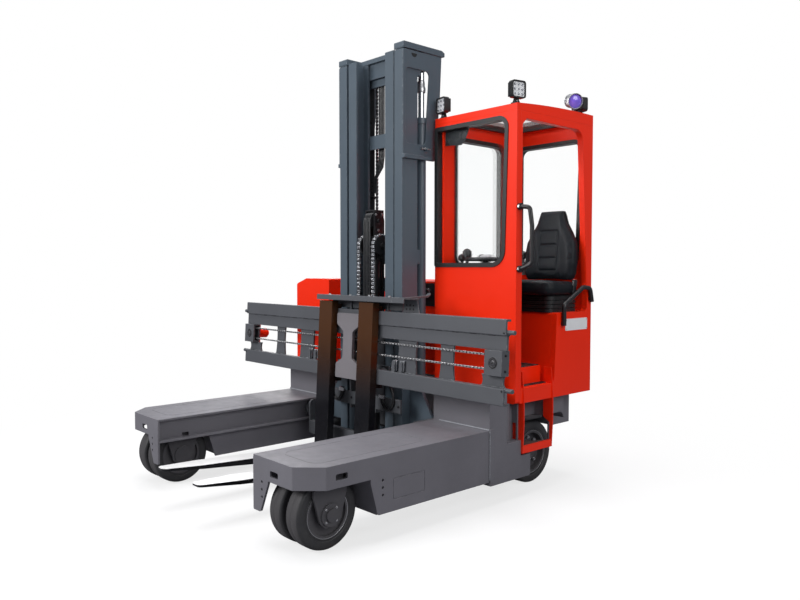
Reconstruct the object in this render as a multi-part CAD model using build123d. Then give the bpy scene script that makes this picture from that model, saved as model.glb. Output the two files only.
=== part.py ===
from build123d import *
import math
import os

# A four-way reach truck with a side cab. Millimetres, +Z up, the forks point to -Y and the
# cab stands on the +X side. While it is modelled, Y = 0 is the front wall of the chassis,
# where the two arms end. At the end every piece moves along Y, so that the origin lies on
# the floor below the centre of the whole truck.

os.makedirs("parts", exist_ok=True)

# Outrigger arms: welded boxes with a roller channel on the inner side
ARM_IN = 546.0
ARM_OUT = 993.0
ARM_TOP = 439.0
ARM_LENGTH = 1257.0
ARM_CORNER_X = 884.0
ARM_CORNER_LENGTH = 1140.0
ARM_PLATE = 12.0
FASCIA_BOTTOM = 329.0
SKIRT_BOTTOM = 144.0
SKIRT_LENGTH = 829.0
SKIRT_SLOPE = 45.0
LEG_BOTTOM = 165.0
HOLE_R = 7.0

# Roller channel in the arms, which runs on into the chassis recess
CHANNEL_BOTTOM = 306.0
CHANNEL_FLANGE = 12.0
CHANNEL_DEPTH = 44.0

# Chassis behind the arms
CHASSIS_BOTTOM = 119.0
SIDE_PLATE_TOP = 341.0
TOWER_TOP = 640.0
TOWER_DEPTH = 150.0
DECK_TOP = 562.0
DECK_OUT = 930.0
SIDE_PLATE_LENGTH = 371.0
REAR_BOX_OUT = 842.0
REAR_BOX_BOTTOM = 335.0
CHASSIS_REAR = 977.0
RECESS_REAR = 330.0
TRAY_TOP = 430.0
WALL = 12.0
COLLAR = 28.0

# Front twin wheels
WHEEL_X = 770.0
FRONT_WHEEL_Y = -1057.0
FRONT_R = 180.0
FRONT_TYRE_W = 100.0
FRONT_TYRE_GAP = 40.0
FRONT_RIM_R = 122.0
AXLE_R = 25.0
SHOULDER = 14.0
STEER_PIN_R = 60.0
FRONT_SWEEP_R = 181.0
CHEEK_TOP = 75.0
CHEEK_WIDE = 98.0

# Rear wheels
REAR_X = 773.0
REAR_WHEEL_Y = 580.0
REAR_R = 197.0
REAR_TYRE_W = 140.0
REAR_RIM_R = 135.0
WELL_R = 209.0
WELL_TOP = 440.0
WELL_IN = 560.0
CROWN_SWEEP_R = 160.0

# Cab
CAB_IN = 342.0
CAB_OUT = 1003.0
CAB_FRONT = 212.0
CAB_WALL = 40.0
CAB_HEIGHT = 2300.0
CAB_REAR_HEIGHT = CAB_HEIGHT + 29
ROOF_EDGE = CAB_HEIGHT - 38
SEAL_LIP = 13.0
SEAL_PROUD = 6.0
GLASS = 6.0

# Hoods and battery
HOOD_FRONT = 63.0
HOOD_TOP = 1277.0
HOOD_INNER_X = 588.0
REAR_HOOD_TOP = 1265.0
SHEET = 6.0

# Entry step below the door
STEP_IN = 868.0
STEP_FRONT = 287.0
STEP_REAR = 571.0
STEP_Z = 256.0
SKIRT_OUT = 972.0
STEP_CLEAR = 6.0

# Raised step inside the foot well
FOOT_STEP_Z = 755.0
FOOT_STEP_OUT = 915.0
FOOT_STEP_REAR = 566.0

# Mast
MAST_FRONT = -46.0
MAST_DEPTH = 130.0
MAST_TOP = 2704.0
MAST_BOTTOM = 130.0
OUTER_TIP_X = 239.0
OUTER_WEB_X = 312.0
OUTER_WEB = 15.0
OUTER_FLANGE = 20.0
INNER_TIP_X = 144.0
INNER_OUT_X = 225.0
INNER_WEB_X = 190.0
INNER_WEB = 13.0
INNER_FLANGE = 16.0
STAGE_GAP = 6.0
CAP_BOTTOM = MAST_TOP + 7
CAP_TOP = CAP_BOTTOM + 38
TOP_PLATE_Z = MAST_TOP - 668
LIFT_BARREL_TOP = MAST_TOP - 398
LIFT_CYL_X = 275.0
LIFT_CYL_Y = 150.0
LIFT_CYL_R = 32.0
LIFT_ROD_R = 20.0
FREE_CYL_Y = -10.0
FREE_CYL_R = 38.0
FREE_ROD_R = 25.0

# Reach carriage
REACH_TRAVEL = 900.0
REACH_NOSE = -112.0
REACH_HELD = 109.0
ROLLER_GAP = 0.5
REACH_PLATE_X = 530.0
REACH_CYL_X = 455.0
REACH_CYL_Z = 250.0
REACH_CYL_R = 40.0
REACH_ROD_R = 22.0

# Fork carriage
LEAN = 3.0
PIVOT_Y = -130.0
PIVOT_Z = 1040.0
PIVOT_R = 15.0
TILT_X = 215.0
TILT_Z = 698.0
TILT_CYL_R = 32.0
TILT_BORE_R = 25.0
TILT_ROD_R = 13.0
RAIL_HALF = 1274.0
RAIL_FRONT = -204.0
RAIL_DEPTH = 40.0
RAIL_PLATE = 12.0
TOP_RAIL_Z = 1003.0
TOP_RAIL_H = 86.0
LOW_RAIL_Z = 638.0
LOW_RAIL_H = 92.0
BACK_PLATE_Z = 925.0
BACK_PLATE_HALF = RAIL_HALF
BACK_PLATE_REAR = 28.0
STOP_PIN = 45.0
GUARD_TOP = 1176.0
CHAIN_R = 38.5
CHAIN_Z = 858.5
CHAIN_FRONT = -191.0
CHAIN_T = 10.0
SPROCKET_X = RAIL_HALF - 68
HOUSING_IN = RAIL_HALF - 126
HOUSING_OUT = RAIL_HALF - 6
HOUSING_Z = 792.0
HOUSING_FRONT = -218.0
HOUSING_REAR = -160.0
HOUSING_WALL = 12.0

# Forks
FORK_X = 205.0
FORK_W = 136.0
FORK_T = 50.0
SHANK_TOP = 1137.0
BLADE_TOP = 177.0
BLADE_LENGTH = 1101.0
TIP_T = 12.0
TIP_W = 80.0
FORK_GAP = 0.6

# Running clearances
PIN_GAP = 0.1
ROD_GAP = 0.5
SEAT_GAP = 0.3

SIDES = (("left", 1), ("right", -1))
NODES = {}


def block(x0, x1, y0, y1, z0, z1):
    return Pos((x0 + x1) / 2, (y0 + y1) / 2, (z0 + z1) / 2) * Box(x1 - x0, y1 - y0, z1 - z0)


def rod(axis, at, low, high, radius):
    turn = {"x": Rot(0, 90, 0), "y": Rot(-90, 0, 0), "z": Rot(0, 0, 0)}[axis]
    middle = (low + high) / 2
    place = {"x": (middle, at[0], at[1]), "y": (at[0], middle, at[1]), "z": (at[0], at[1], middle)}[axis]
    return Pos(*place) * turn * Cylinder(radius, high - low)


def outline(points, radii=0):
    if radii == 0:
        return make_face(Polyline(*points, close=True))
    return make_face(FilletPolyline(*points, radius=radii, close=True))


def slab(axis, points, low, high, radii=0):
    plane = {"x": Plane.YZ, "y": Plane.XZ, "z": Plane.XY}[axis]
    way = {"x": (1, 0, 0), "y": (0, 1, 0), "z": (0, 0, 1)}[axis]
    face = plane * outline(points, radii)
    start = Pos(way[0] * low, way[1] * low, way[2] * low)
    return extrude(start * face, amount=high - low, dir=way)


def fuse(pieces):
    whole = pieces[0]
    for piece in pieces[1:]:
        whole += piece
    return whole


def flip(shape):
    return mirror(shape, about=Plane.YZ)


def sided(shape, side):
    return shape if side > 0 else flip(shape)


def lean(shape):
    return shape.rotate(Axis((0, PIVOT_Y, PIVOT_Z), (1, 0, 0)), -LEAN)


def keep(name, shape):
    solids = shape.solids()
    NODES[name] = solids[0] if len(solids) == 1 else Compound(solids)


def rectangle(a0, a1, b0, b1):
    return [(a0, b0), (a1, b0), (a1, b1), (a0, b1)]


# Arms
def outrigger():
    top_under = ARM_TOP - ARM_PLATE
    web = ARM_IN + CHANNEL_DEPTH
    front = -ARM_LENGTH
    corner = [(ARM_CORNER_X, front), (ARM_OUT, -ARM_CORNER_LENGTH)]
    plan = [(ARM_IN, front)] + corner + [(ARM_OUT, 0), (ARM_IN, 0)]
    wall_plan = [(web, front)] + corner + [(ARM_OUT, 0), (web, 0)]
    hollow_plan = [
        (web + ARM_PLATE, front + ARM_PLATE),
        (ARM_CORNER_X - ARM_PLATE / 2, front + ARM_PLATE),
        (ARM_OUT - ARM_PLATE, -ARM_CORNER_LENGTH + ARM_PLATE / 2),
        (ARM_OUT - ARM_PLATE, 0),
        (web + ARM_PLATE, 0),
    ]
    top = slab("z", plan, top_under, ARM_TOP, [4, 12, 12, 0, 0])
    walls = slab("z", wall_plan, FASCIA_BOTTOM, top_under, [0, 12, 12, 0, 0])
    walls -= slab("z", hollow_plan, FASCIA_BOTTOM, top_under)
    flange_low = CHANNEL_BOTTOM - CHANNEL_FLANGE
    nose = block(ARM_IN, web + ARM_PLATE, front, front + ARM_PLATE, flange_low, top_under)
    channel = block(web, web + ARM_PLATE, front, 0, flange_low, FASCIA_BOTTOM)
    flange = block(ARM_IN, web, front, 0, flange_low, CHANNEL_BOTTOM)
    skirt_front = -SKIRT_LENGTH
    slope = [
        (skirt_front - SKIRT_SLOPE, FASCIA_BOTTOM),
        (skirt_front - SKIRT_SLOPE, FASCIA_BOTTOM - 20),
        (skirt_front, SKIRT_BOTTOM),
    ]
    skirt = slab("x", slope + [(0, SKIRT_BOTTOM), (0, FASCIA_BOTTOM)], ARM_OUT - ARM_PLATE, ARM_OUT,
                 [0, 14, 14, 0, 0])
    inner = [(skirt_front - 70, flange_low), (skirt_front - 22, SKIRT_BOTTOM), (0, SKIRT_BOTTOM), (0, flange_low)]
    inner_skirt = slab("x", inner, web, web + ARM_PLATE)
    x0, x1 = web + ARM_PLATE, ARM_OUT - ARM_PLATE
    ramp = [
        (skirt_front - SKIRT_SLOPE, FASCIA_BOTTOM),
        (skirt_front, SKIRT_BOTTOM),
        (skirt_front + ARM_PLATE, SKIRT_BOTTOM),
        (skirt_front - SKIRT_SLOPE + ARM_PLATE, FASCIA_BOTTOM),
    ]
    bulkhead = slab("x", ramp, x0, x1)
    closing = block(x0, x1, skirt_front - SKIRT_SLOPE, skirt_front - SKIRT_SLOPE + ARM_PLATE, FASCIA_BOTTOM, top_under)
    floor = block(x0, x1, skirt_front, 0, SKIRT_BOTTOM, SKIRT_BOTTOM + ARM_PLATE)
    leg_points = [
        (ARM_IN, flange_low), (ARM_IN, LEG_BOTTOM), (ARM_IN + 64, LEG_BOTTOM),
        (ARM_IN + 134, FASCIA_BOTTOM - 12), (ARM_IN + 134, FASCIA_BOTTOM + 6), (ARM_IN, FASCIA_BOTTOM + 6),
    ]
    leg = slab("y", leg_points, front, front + ARM_PLATE, [0, 8, 14, 14, 0, 0])
    boss = rod("z", (WHEEL_X, FRONT_WHEEL_Y), top_under - 32, top_under, STEER_PIN_R + 45)
    arm = fuse([top, walls, nose, channel, flange, skirt, inner_skirt, bulkhead, closing, floor, leg, boss])
    arm -= rod("z", (WHEEL_X, FRONT_WHEEL_Y), top_under - 32, top_under, STEER_PIN_R)
    arm -= rod("z", (WHEEL_X, FRONT_WHEEL_Y), 0, FASCIA_BOTTOM, FRONT_SWEEP_R)
    for height in (316, 279, 242):
        arm -= rod("y", (ARM_IN + 79, height), front - 5, front + ARM_PLATE + 5, HOLE_R)
        arm -= rod("x", (skirt_front + 33, height - 3), ARM_OUT - 20, ARM_OUT + 5, HOLE_R)
    arm -= slab("y", rectangle(699, 767, 355, 385), front - 5, front + ARM_PLATE + 5, 8)
    arm -= slab("x", rectangle(-1086, -1015, 365, 395), ARM_OUT - 20, ARM_OUT + 5, 8)
    groove = slab("x", rectangle(-730, -508, 202, 311), ARM_OUT - 2, ARM_OUT + 5, 10)
    groove -= slab("x", rectangle(-726, -512, 206, 307), ARM_OUT - 3, ARM_OUT + 6, 8)
    return arm - groove


def wheel_tower(side):
    lower = [
        (0, CHASSIS_BOTTOM), (SIDE_PLATE_LENGTH, CHASSIS_BOTTOM), (SIDE_PLATE_LENGTH, SIDE_PLATE_TOP),
        (TOWER_DEPTH, SIDE_PLATE_TOP), (TOWER_DEPTH, TOWER_TOP), (0, TOWER_TOP),
    ]
    box = slab("x", lower, ARM_IN, ARM_OUT, [14, 14, 0, 10, 14, 14])
    deck_top = DECK_TOP if side > 0 else TOWER_TOP
    upper = [
        (TOWER_DEPTH - 10, CHASSIS_BOTTOM + 60), (CHASSIS_REAR, CHASSIS_BOTTOM + 60),
        (CHASSIS_REAR, deck_top), (TOWER_DEPTH - 10, deck_top),
    ]
    box += slab("x", upper, ARM_IN, DECK_OUT)
    y0, y1 = REAR_WHEEL_Y - WELL_R, REAR_WHEEL_Y + WELL_R
    box -= slab("x", rectangle(y0, y1, 0, WELL_TOP), WELL_IN, ARM_OUT + 20, [0, 0, 40, 40])
    box -= slab("x", rectangle(y1, CHASSIS_REAR + 10, 0, REAR_BOX_BOTTOM), ARM_IN - 10, ARM_OUT + 20)
    box -= block(REAR_BOX_OUT, ARM_OUT + 20, y1, CHASSIS_REAR + 10, 0, DECK_TOP)
    box -= block(ARM_IN - 10, ARM_IN + CHANNEL_DEPTH, -5, RECESS_REAR, CHANNEL_BOTTOM, ARM_TOP - ARM_PLATE)
    box -= rod("z", (REAR_X, REAR_WHEEL_Y), WELL_TOP - 5, WELL_TOP + 40, STEER_PIN_R)
    skirt_front, skirt_rear = TOWER_DEPTH + 120, REAR_WHEEL_Y + 20
    skirt = block(SKIRT_OUT - 10, SKIRT_OUT, skirt_front, skirt_rear, 300, DECK_TOP)
    skirt += block(DECK_OUT - 5, SKIRT_OUT - 10, skirt_front, skirt_rear, WELL_TOP, DECK_TOP)
    box += skirt + rod("z", (DECK_OUT, TOWER_DEPTH + 55), SIDE_PLATE_TOP - 2, DECK_TOP, 30)
    if side > 0:
        box -= block(STEP_IN - 5, CAB_OUT + 5, STEP_FRONT - 6, STEP_REAR + 6, STEP_Z - 6, DECK_TOP + 5)
    collar = block(ARM_OUT - 4, ARM_OUT + 8, 0, COLLAR, SKIRT_BOTTOM, ARM_TOP + 4)
    collar += block(ARM_IN + CHANNEL_DEPTH, ARM_OUT + 8, 0, COLLAR, ARM_TOP, ARM_TOP + 8)
    return sided(box + collar, side)


def chassis_frame():
    centre = block(-ARM_IN, ARM_IN, RECESS_REAR, CHASSIS_REAR, SIDE_PLATE_TOP, TRAY_TOP)
    walls = block(-ARM_IN, CAB_IN, RECESS_REAR, CHASSIS_REAR, TRAY_TOP, TOWER_TOP)
    walls -= block(-ARM_IN, CAB_IN - WALL, RECESS_REAR + WALL, CHASSIS_REAR - WALL, TRAY_TOP, TOWER_TOP)
    deck = block(CAB_IN - WALL, ARM_IN, RECESS_REAR, CHASSIS_REAR, TRAY_TOP, DECK_TOP)
    frame = fuse([centre, walls, deck])
    for x in (REACH_CYL_X, -REACH_CYL_X):
        hanger = block(x - 50, x + 50, CHASSIS_REAR - 60, CHASSIS_REAR - 20, REACH_CYL_Z - 45, SIDE_PLATE_TOP)
        saddle = block(x - 50, x + 50, RECESS_REAR + 10, RECESS_REAR + 40, REACH_CYL_Z - 45, SIDE_PLATE_TOP)
        frame += hanger + saddle - rod("y", (x, REACH_CYL_Z), RECESS_REAR, CHASSIS_REAR - 45, REACH_CYL_R)
    return frame


def reach_barrels():
    out = []
    for x in (REACH_CYL_X, -REACH_CYL_X):
        barrel = rod("y", (x, REACH_CYL_Z), -100, CHASSIS_REAR - 45, REACH_CYL_R)
        barrel += rod("y", (x, REACH_CYL_Z), REACH_NOSE, -70, REACH_CYL_R + 6)
        barrel -= rod("y", (x, REACH_CYL_Z), REACH_NOSE - 8, CHASSIS_REAR - 70, REACH_ROD_R + ROD_GAP)
        out.append(barrel)
    return out[0] + out[1]


# Wheels
def tyre(centre_x, centre_y, radius, rim, width):
    half = width / 2
    low, flat = radius - SHOULDER, half - SHOULDER
    profile = [(rim, -half), (low, -half), (radius, -flat), (radius, flat), (low, half), (rim, half)]
    ring = revolve(Plane.XZ * outline(profile), Axis.Z, 360)
    return Pos(centre_x, centre_y, radius) * Rot(0, 90, 0) * ring


def front_tyres():
    step = (FRONT_TYRE_W + FRONT_TYRE_GAP) / 2
    return (tyre(WHEEL_X - step, FRONT_WHEEL_Y, FRONT_R, FRONT_RIM_R, FRONT_TYRE_W)
            + tyre(WHEEL_X + step, FRONT_WHEEL_Y, FRONT_R, FRONT_RIM_R, FRONT_TYRE_W))


def front_hub():
    half = FRONT_TYRE_W + FRONT_TYRE_GAP / 2
    at = (FRONT_WHEEL_Y, FRONT_R)
    hub = rod("x", at, WHEEL_X - half, WHEEL_X + half, FRONT_RIM_R - SEAT_GAP)
    hub -= rod("x", at, WHEEL_X + half - 18, WHEEL_X + half + 5, FRONT_RIM_R - 14)
    hub -= rod("x", at, WHEEL_X - half - 5, WHEEL_X - half + 18, FRONT_RIM_R - 14)
    hub += rod("x", at, WHEEL_X - half + 2, WHEEL_X + half - 2, AXLE_R + 25)
    return hub - rod("x", at, WHEEL_X - half - 5, WHEEL_X + half + 5, AXLE_R + PIN_GAP)


def front_fork():
    half = FRONT_TYRE_W + FRONT_TYRE_GAP / 2
    cheek_in = half + 8
    cheek_out = cheek_in + 14
    y, z = FRONT_WHEEL_Y, FRONT_R
    crown = slab("z", rectangle(WHEEL_X - cheek_out, WHEEL_X + cheek_out, y - CHEEK_TOP, y + CHEEK_TOP),
                 z + FRONT_R + 7, z + FRONT_R + 25, 30)
    pieces = [crown]
    for x0, x1 in ((WHEEL_X + cheek_in, WHEEL_X + cheek_out), (WHEEL_X - cheek_out, WHEEL_X - cheek_in)):
        near = [(y - CHEEK_TOP, z + FRONT_R + 10), (y - CHEEK_TOP, z + 146), (y - CHEEK_WIDE, z + 126),
                (y - CHEEK_WIDE, z + 100), (y - 62, z - 30), (y - 30, z - 62)]
        far = [(2 * y - a, b) for a, b in reversed(near)]
        pieces.append(slab("x", near + far, x0, x1, [0, 0, 8, 20, 25, 25, 25, 25, 20, 8, 0, 0]))
    pieces.append(rod("x", (y, z), WHEEL_X - cheek_out - 6, WHEEL_X + cheek_out + 6, AXLE_R))
    for x0, x1 in ((WHEEL_X + cheek_out, WHEEL_X + cheek_out + 8), (WHEEL_X - cheek_out - 8, WHEEL_X - cheek_out)):
        pieces.append(rod("x", (y, z), x0, x1, 56))
    pieces.append(rod("x", (y, z), WHEEL_X + cheek_out + 8, WHEEL_X + cheek_out + 20, 32))
    pieces.append(rod("z", (WHEEL_X, y), z + FRONT_R + 25, ARM_TOP - ARM_PLATE - 32 - SEAT_GAP, STEER_PIN_R + 40))
    pieces.append(rod("z", (WHEEL_X, y), z + FRONT_R + 25, ARM_TOP - ARM_PLATE - SEAT_GAP, STEER_PIN_R - PIN_GAP))
    return fuse(pieces)


def rear_hub():
    half = REAR_TYRE_W / 2
    at = (REAR_WHEEL_Y, REAR_R)
    hub = rod("x", at, REAR_X - half + 4, REAR_X + half - 4, REAR_RIM_R - SEAT_GAP)
    hub -= rod("x", at, REAR_X + half - 46, REAR_X + half + 5, REAR_RIM_R - 16)
    hub -= rod("x", at, REAR_X - half - 5, REAR_X - half + 40, REAR_RIM_R - 16)
    hub += rod("x", at, REAR_X - half + 30, REAR_X + half - 22, 58)
    for number in range(8):
        angle = math.radians(number * 45)
        spot = (REAR_WHEEL_Y + 88 * math.cos(angle), REAR_R + 88 * math.sin(angle))
        hub += rod("x", spot, REAR_X + half - 50, REAR_X + half - 32, 10)
    return hub - rod("x", at, REAR_X - half - 5, REAR_X + half - 32, AXLE_R + PIN_GAP)


def rear_leg():
    y, z = REAR_WHEEL_Y, REAR_R
    x0, x1 = REAR_X - REAR_TYRE_W / 2 - 62, REAR_X - REAR_TYRE_W / 2 - 12
    top = z + REAR_R + 8
    shape = [(y - 85, top + 8), (y - 85, z + 40), (y - 60, z - 55), (y + 60, z - 55), (y + 85, z + 40), (y + 85, top + 8)]
    leg = slab("x", shape, x0, x1, [0, 40, 50, 50, 40, 0])
    crown = slab("z", rectangle(x0, REAR_X + 70, y - 95, y + 95), top, top + 16, 40)
    ring = rod("z", (REAR_X, y), top + 16, WELL_TOP - SEAT_GAP, 118)
    pin = rod("z", (REAR_X, y), top + 16, WELL_TOP + 30, STEER_PIN_R - PIN_GAP)
    axle = rod("x", (y, z), x1 - 10, REAR_X + REAR_TYRE_W / 2 - 33, AXLE_R)
    return fuse([leg, crown, ring, pin, axle])


# Cab panels. Each window has its own outline, in the plane of its panel
WINDOW_LOW = 1374
FRONT_TOP = ROOF_EDGE - 32
REAR_TOP = ROOF_EDGE - 87
INNER_TOP = ROOF_EDGE - 72
DOOR_TOP = ROOF_EDGE - 41
FRONT_WINDOW = ([(354, WINDOW_LOW), (905, WINDOW_LOW), (930, FRONT_TOP), (354, FRONT_TOP)], [4, 90, 60, 4])
REAR_WINDOW = ([(430, WINDOW_LOW), (920, WINDOW_LOW), (945, REAR_TOP), (430, REAR_TOP)], [60, 60, 60, 60])
INNER_WINDOW = ([(362, WINDOW_LOW), (833, WINDOW_LOW), (833, INNER_TOP), (362, INNER_TOP)], [60, 60, 60, 60])
ROOF_WINDOW = ([(410, 300), (935, 300), (935, 890), (410, 890)], [60, 60, 60, 60])
# name, axis of its normal, outline, low face, high face
WINDOWS = (
    ("front", "y", FRONT_WINDOW, CAB_FRONT, CAB_FRONT + CAB_WALL),
    ("rear", "y", REAR_WINDOW, CHASSIS_REAR - CAB_WALL, CHASSIS_REAR),
    ("inner", "x", INNER_WINDOW, CAB_IN, CAB_IN + CAB_WALL),
    ("roof", "z", ROOF_WINDOW, ROOF_EDGE, ROOF_EDGE + 45),
)
DOOR = ([(264, 650), (586, 650), (611, 1080), (930, 1080), (930, 1180), (862, DOOR_TOP), (300, DOOR_TOP),
         (264, DOOR_TOP - 36)],
        [14, 30, 10, 30, 30, 70, 6, 6])


def window_hole(window, grow=0.0):
    points, radii = window[2]
    centre_a = sum(point[0] for point in points) / len(points)
    centre_b = sum(point[1] for point in points) / len(points)
    moved = []
    for a, b in points:
        moved.append((a + (grow if a > centre_a else -grow), b + (grow if b > centre_b else -grow)))
    return moved, [max(radius + grow, 2) for radius in radii]


def window_cut(window):
    points, radii = window_hole(window)
    return slab(window[1], points, window[3] - 60, window[4] + 60, radii)


def window_seal(window):
    axis, low, high = window[1], window[3], window[4]
    points, radii = window_hole(window)
    wide_points, wide_radii = window_hole(window, SEAL_LIP)
    tight_points, tight_radii = window_hole(window, -SEAL_LIP)
    seal = slab(axis, points, low, high, radii)
    seal += slab(axis, wide_points, low - SEAL_PROUD, low, wide_radii)
    seal += slab(axis, wide_points, high, high + SEAL_PROUD, wide_radii)
    seal -= slab(axis, tight_points, low - 20, high + 20, tight_radii)
    return seal - block(CAB_IN - 5, CAB_IN + CAB_WALL, CAB_FRONT + CAB_WALL, CAB_FRONT + CAB_WALL + 20, DECK_TOP,
                        ROOF_EDGE)


def roof_seal():
    wide_points, wide_radii = window_hole(WINDOWS[3], SEAL_LIP)
    tight_points, tight_radii = window_hole(WINDOWS[3], -SEAL_LIP)
    low, high = ROOF_EDGE + 20 - SEAL_PROUD, CAB_REAR_HEIGHT + 20
    ring = slab("z", wide_points, low, high, wide_radii) - slab("z", tight_points, low - 5, high + 5, tight_radii)
    return (ring & roof_arch(SEAL_PROUD)) - cab_roof()


def window_pane(window):
    middle = (window[3] + window[4]) / 2
    points, radii = window_hole(window, -SEAL_LIP - SEAT_GAP)
    return slab(window[1], points, middle - GLASS / 2, middle + GLASS / 2, radii)


def cab_front():
    panel = slab("y", rectangle(CAB_IN, CAB_OUT, DECK_TOP, ROOF_EDGE), CAB_FRONT, CAB_FRONT + CAB_WALL,
                 [0, 20, 0, 0])
    return panel - window_cut(WINDOWS[0])


def cab_rear():
    x0, x1 = CAB_IN + CAB_WALL, CAB_OUT - CAB_WALL
    panel = block(x0, x1, CHASSIS_REAR - CAB_WALL, CHASSIS_REAR, DECK_TOP, ROOF_EDGE)
    return panel - window_cut(WINDOWS[1])


def cab_inner():
    panel = block(CAB_IN, CAB_IN + CAB_WALL, CAB_FRONT + CAB_WALL, CHASSIS_REAR, DECK_TOP, ROOF_EDGE)
    return panel - window_cut(WINDOWS[2])


def cab_door_side():
    panel = block(CAB_OUT - CAB_WALL, CAB_OUT, CAB_FRONT + CAB_WALL, CHASSIS_REAR, DECK_TOP, ROOF_EDGE)
    return panel - slab("x", DOOR[0], CAB_OUT - CAB_WALL - 5, CAB_OUT + 5, DOOR[1])


def roof_arch(rise):
    front, rear = (CAB_FRONT, CAB_HEIGHT + rise), (CHASSIS_REAR, CAB_REAR_HEIGHT + rise)
    edge = Polyline(rear, (CHASSIS_REAR, ROOF_EDGE), (CAB_FRONT, ROOF_EDGE), front)
    arch = make_face(edge + ThreePointArc(front, (622, CAB_HEIGHT + 26 + rise), rear))
    return extrude(Pos(CAB_IN, 0, 0) * (Plane.YZ * arch), amount=CAB_OUT - CAB_IN, dir=(1, 0, 0))


def cab_roof():
    roof = roof_arch(0)
    inside = block(CAB_IN + CAB_WALL, CAB_OUT - CAB_WALL, CAB_FRONT + CAB_WALL, CHASSIS_REAR - CAB_WALL, ROOF_EDGE - 1,
                   ROOF_EDGE + 20)
    points, radii = window_hole(WINDOWS[3])
    return roof - inside - slab("z", points, ROOF_EDGE - 5, CAB_REAR_HEIGHT + 20, radii)


def cab_floor():
    x0, x1 = CAB_IN + CAB_WALL, CAB_OUT - CAB_WALL
    y0, y1 = CAB_FRONT + CAB_WALL, CHASSIS_REAR - CAB_WALL
    riser = [(y0, DECK_TOP), (y1, DECK_TOP), (y1, 1080), (611, 1080), (586, 650), (y0, 650)]
    floor = slab("x", riser, x0, x1, [0, 0, 0, 16, 0, 0])
    step = slab("x", rectangle(y0, FOOT_STEP_REAR, 640, FOOT_STEP_Z), x0, FOOT_STEP_OUT, [0, 0, 14, 0])
    return floor + step


# Seat and what the driver holds
SEAT_X = 780.0
SEAT_W = 440.0


def seat_base():
    half = SEAT_W / 2 - 40
    rings = []
    for number in range(4):
        low = 1080 + number * 26
        rings.append(slab("z", rectangle(SEAT_X - half, SEAT_X + half, 600, 900), low, low + 20, 50))
        rings.append(slab("z", rectangle(SEAT_X - half + 12, SEAT_X + half - 12, 612, 888), low + 20, low + 26, 40))
    return fuse(rings)


def seat_cushion():
    profile = [(540, 1190), (560, 1184), (900, 1184), (900, 1270), (640, 1268), (560, 1290), (530, 1250)]
    pad = slab("x", profile, SEAT_X - SEAT_W / 2, SEAT_X + SEAT_W / 2, [18, 10, 10, 30, 60, 30, 20])
    return pad & slab("z", rectangle(SEAT_X - SEAT_W / 2, SEAT_X + SEAT_W / 2, 520, 905), 1150, 1320, [70, 70, 30, 30])


def seat_back():
    front = [(-200, 1270), (200, 1270), (208, 1420), (200, 1530), (118, 1690), (105, 1740), (-105, 1740),
             (-118, 1690), (-200, 1530), (-208, 1420)]
    shape = slab("y", front, 780, 935, [40, 40, 60, 60, 60, 40, 40, 60, 60, 60])
    side = [(805, 1270), (881, 1270), (903, 1500), (905, 1740), (845, 1740), (820, 1500)]
    return Pos(SEAT_X, 0, 0) * (shape & slab("x", side, -250, 250, [20, 20, 60, 25, 25, 60]))


def bar(points, radius, bend):
    path = FilletPolyline(*points, radius=bend)
    start = points[0]
    way = Vector(*points[1]) - Vector(*start)
    return sweep(Plane(origin=start, z_dir=way) * Circle(radius), path=path)


def restraint():
    x = CAB_OUT + 16
    rail = bar([(x, 663, 1000), (x, 661, 1127), (x, 863, 1234), (x, 940, 1228), (x, 962, 1140)], 14, 30)
    rail += rod("x", (663, 1010), CAB_OUT, x, 12)
    return rail + rod("x", (955, 1160), CAB_OUT, x, 12)


def grab_handle():
    x = CAB_OUT
    y = CAB_FRONT + 24
    rail = bar([(x + 10, y, 1710), (x + 64, y + 16, 1704), (x + 76, y + 22, 1600), (x + 76, y + 22, 1380),
                (x + 10, y, 1350)], 13, [22, 40, 30])
    for height in (1710, 1350):
        rail += rod("x", (y, height), x, x + 18, 20)
    return rail


def console():
    x0 = CAB_IN + CAB_WALL
    desk = [(CAB_FRONT + CAB_WALL, 1120), (400, 1120), (470, 1260), (460, 1330), (CAB_FRONT + CAB_WALL, 1355)]
    body = slab("x", desk, x0, 800, [0, 30, 30, 40, 0])
    body += block(x0, x0 + 150, 380, 860, 1120, 1290)
    body += block(x0, 600, CAB_FRONT + CAB_WALL, 330, FOOT_STEP_Z, 1130)
    body += rod("z", (630, 380), 1300, 1398.8, 20)
    for x, y in ((470, 330), (470, 520), (470, 590)):
        body += rod("z", (x, y), 1280, 1400, 9)
        body += Pos(x, y, 1420) * Sphere(26)
    return body


def steering_wheel():
    centre = Pos(630, 380, 1410)
    wheel = centre * Torus(125, 12) + centre * Cylinder(38, 22)
    for number in range(3):
        wheel += centre * Rot(0, 0, number * 120 + 30) * Pos(75, 0, 0) * Box(90, 24, 10)
    return wheel


def roof_lamps():
    # x, y, height of the foot, turn about Z, half size
    table = ((395, 236, CAB_HEIGHT, -12, 50), (970, 242, CAB_HEIGHT + 1, 40, 50),
             (930, 938, CAB_REAR_HEIGHT - 1, 160, 45))
    out = []
    for x, y, foot, turn, half in table:
        lamp = slab("y", rectangle(-half, half, 30, 30 + 2 * half), -28, 24, 16)
        lamp += slab("y", rectangle(-8, 8, 0, 36), -10, 10)
        lamp += slab("z", rectangle(-24, 24, -16, 16), -10, 8, 4)
        out.append(Pos(x, y, foot) * Rot(0, 0, turn) * lamp)
    spot = Pos(0, 0, 75) * Rot(0, 0, 30) * Rot(70, 0, 0) * Cylinder(48, 70)
    spot += block(-10, 10, -10, 10, 0, 45) + block(-16, 16, -24, 24, -10, 8)
    out.append(Pos(976, 800, CAB_REAR_HEIGHT - 3) * spot)
    return fuse(out) - roof_arch(0)


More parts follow.
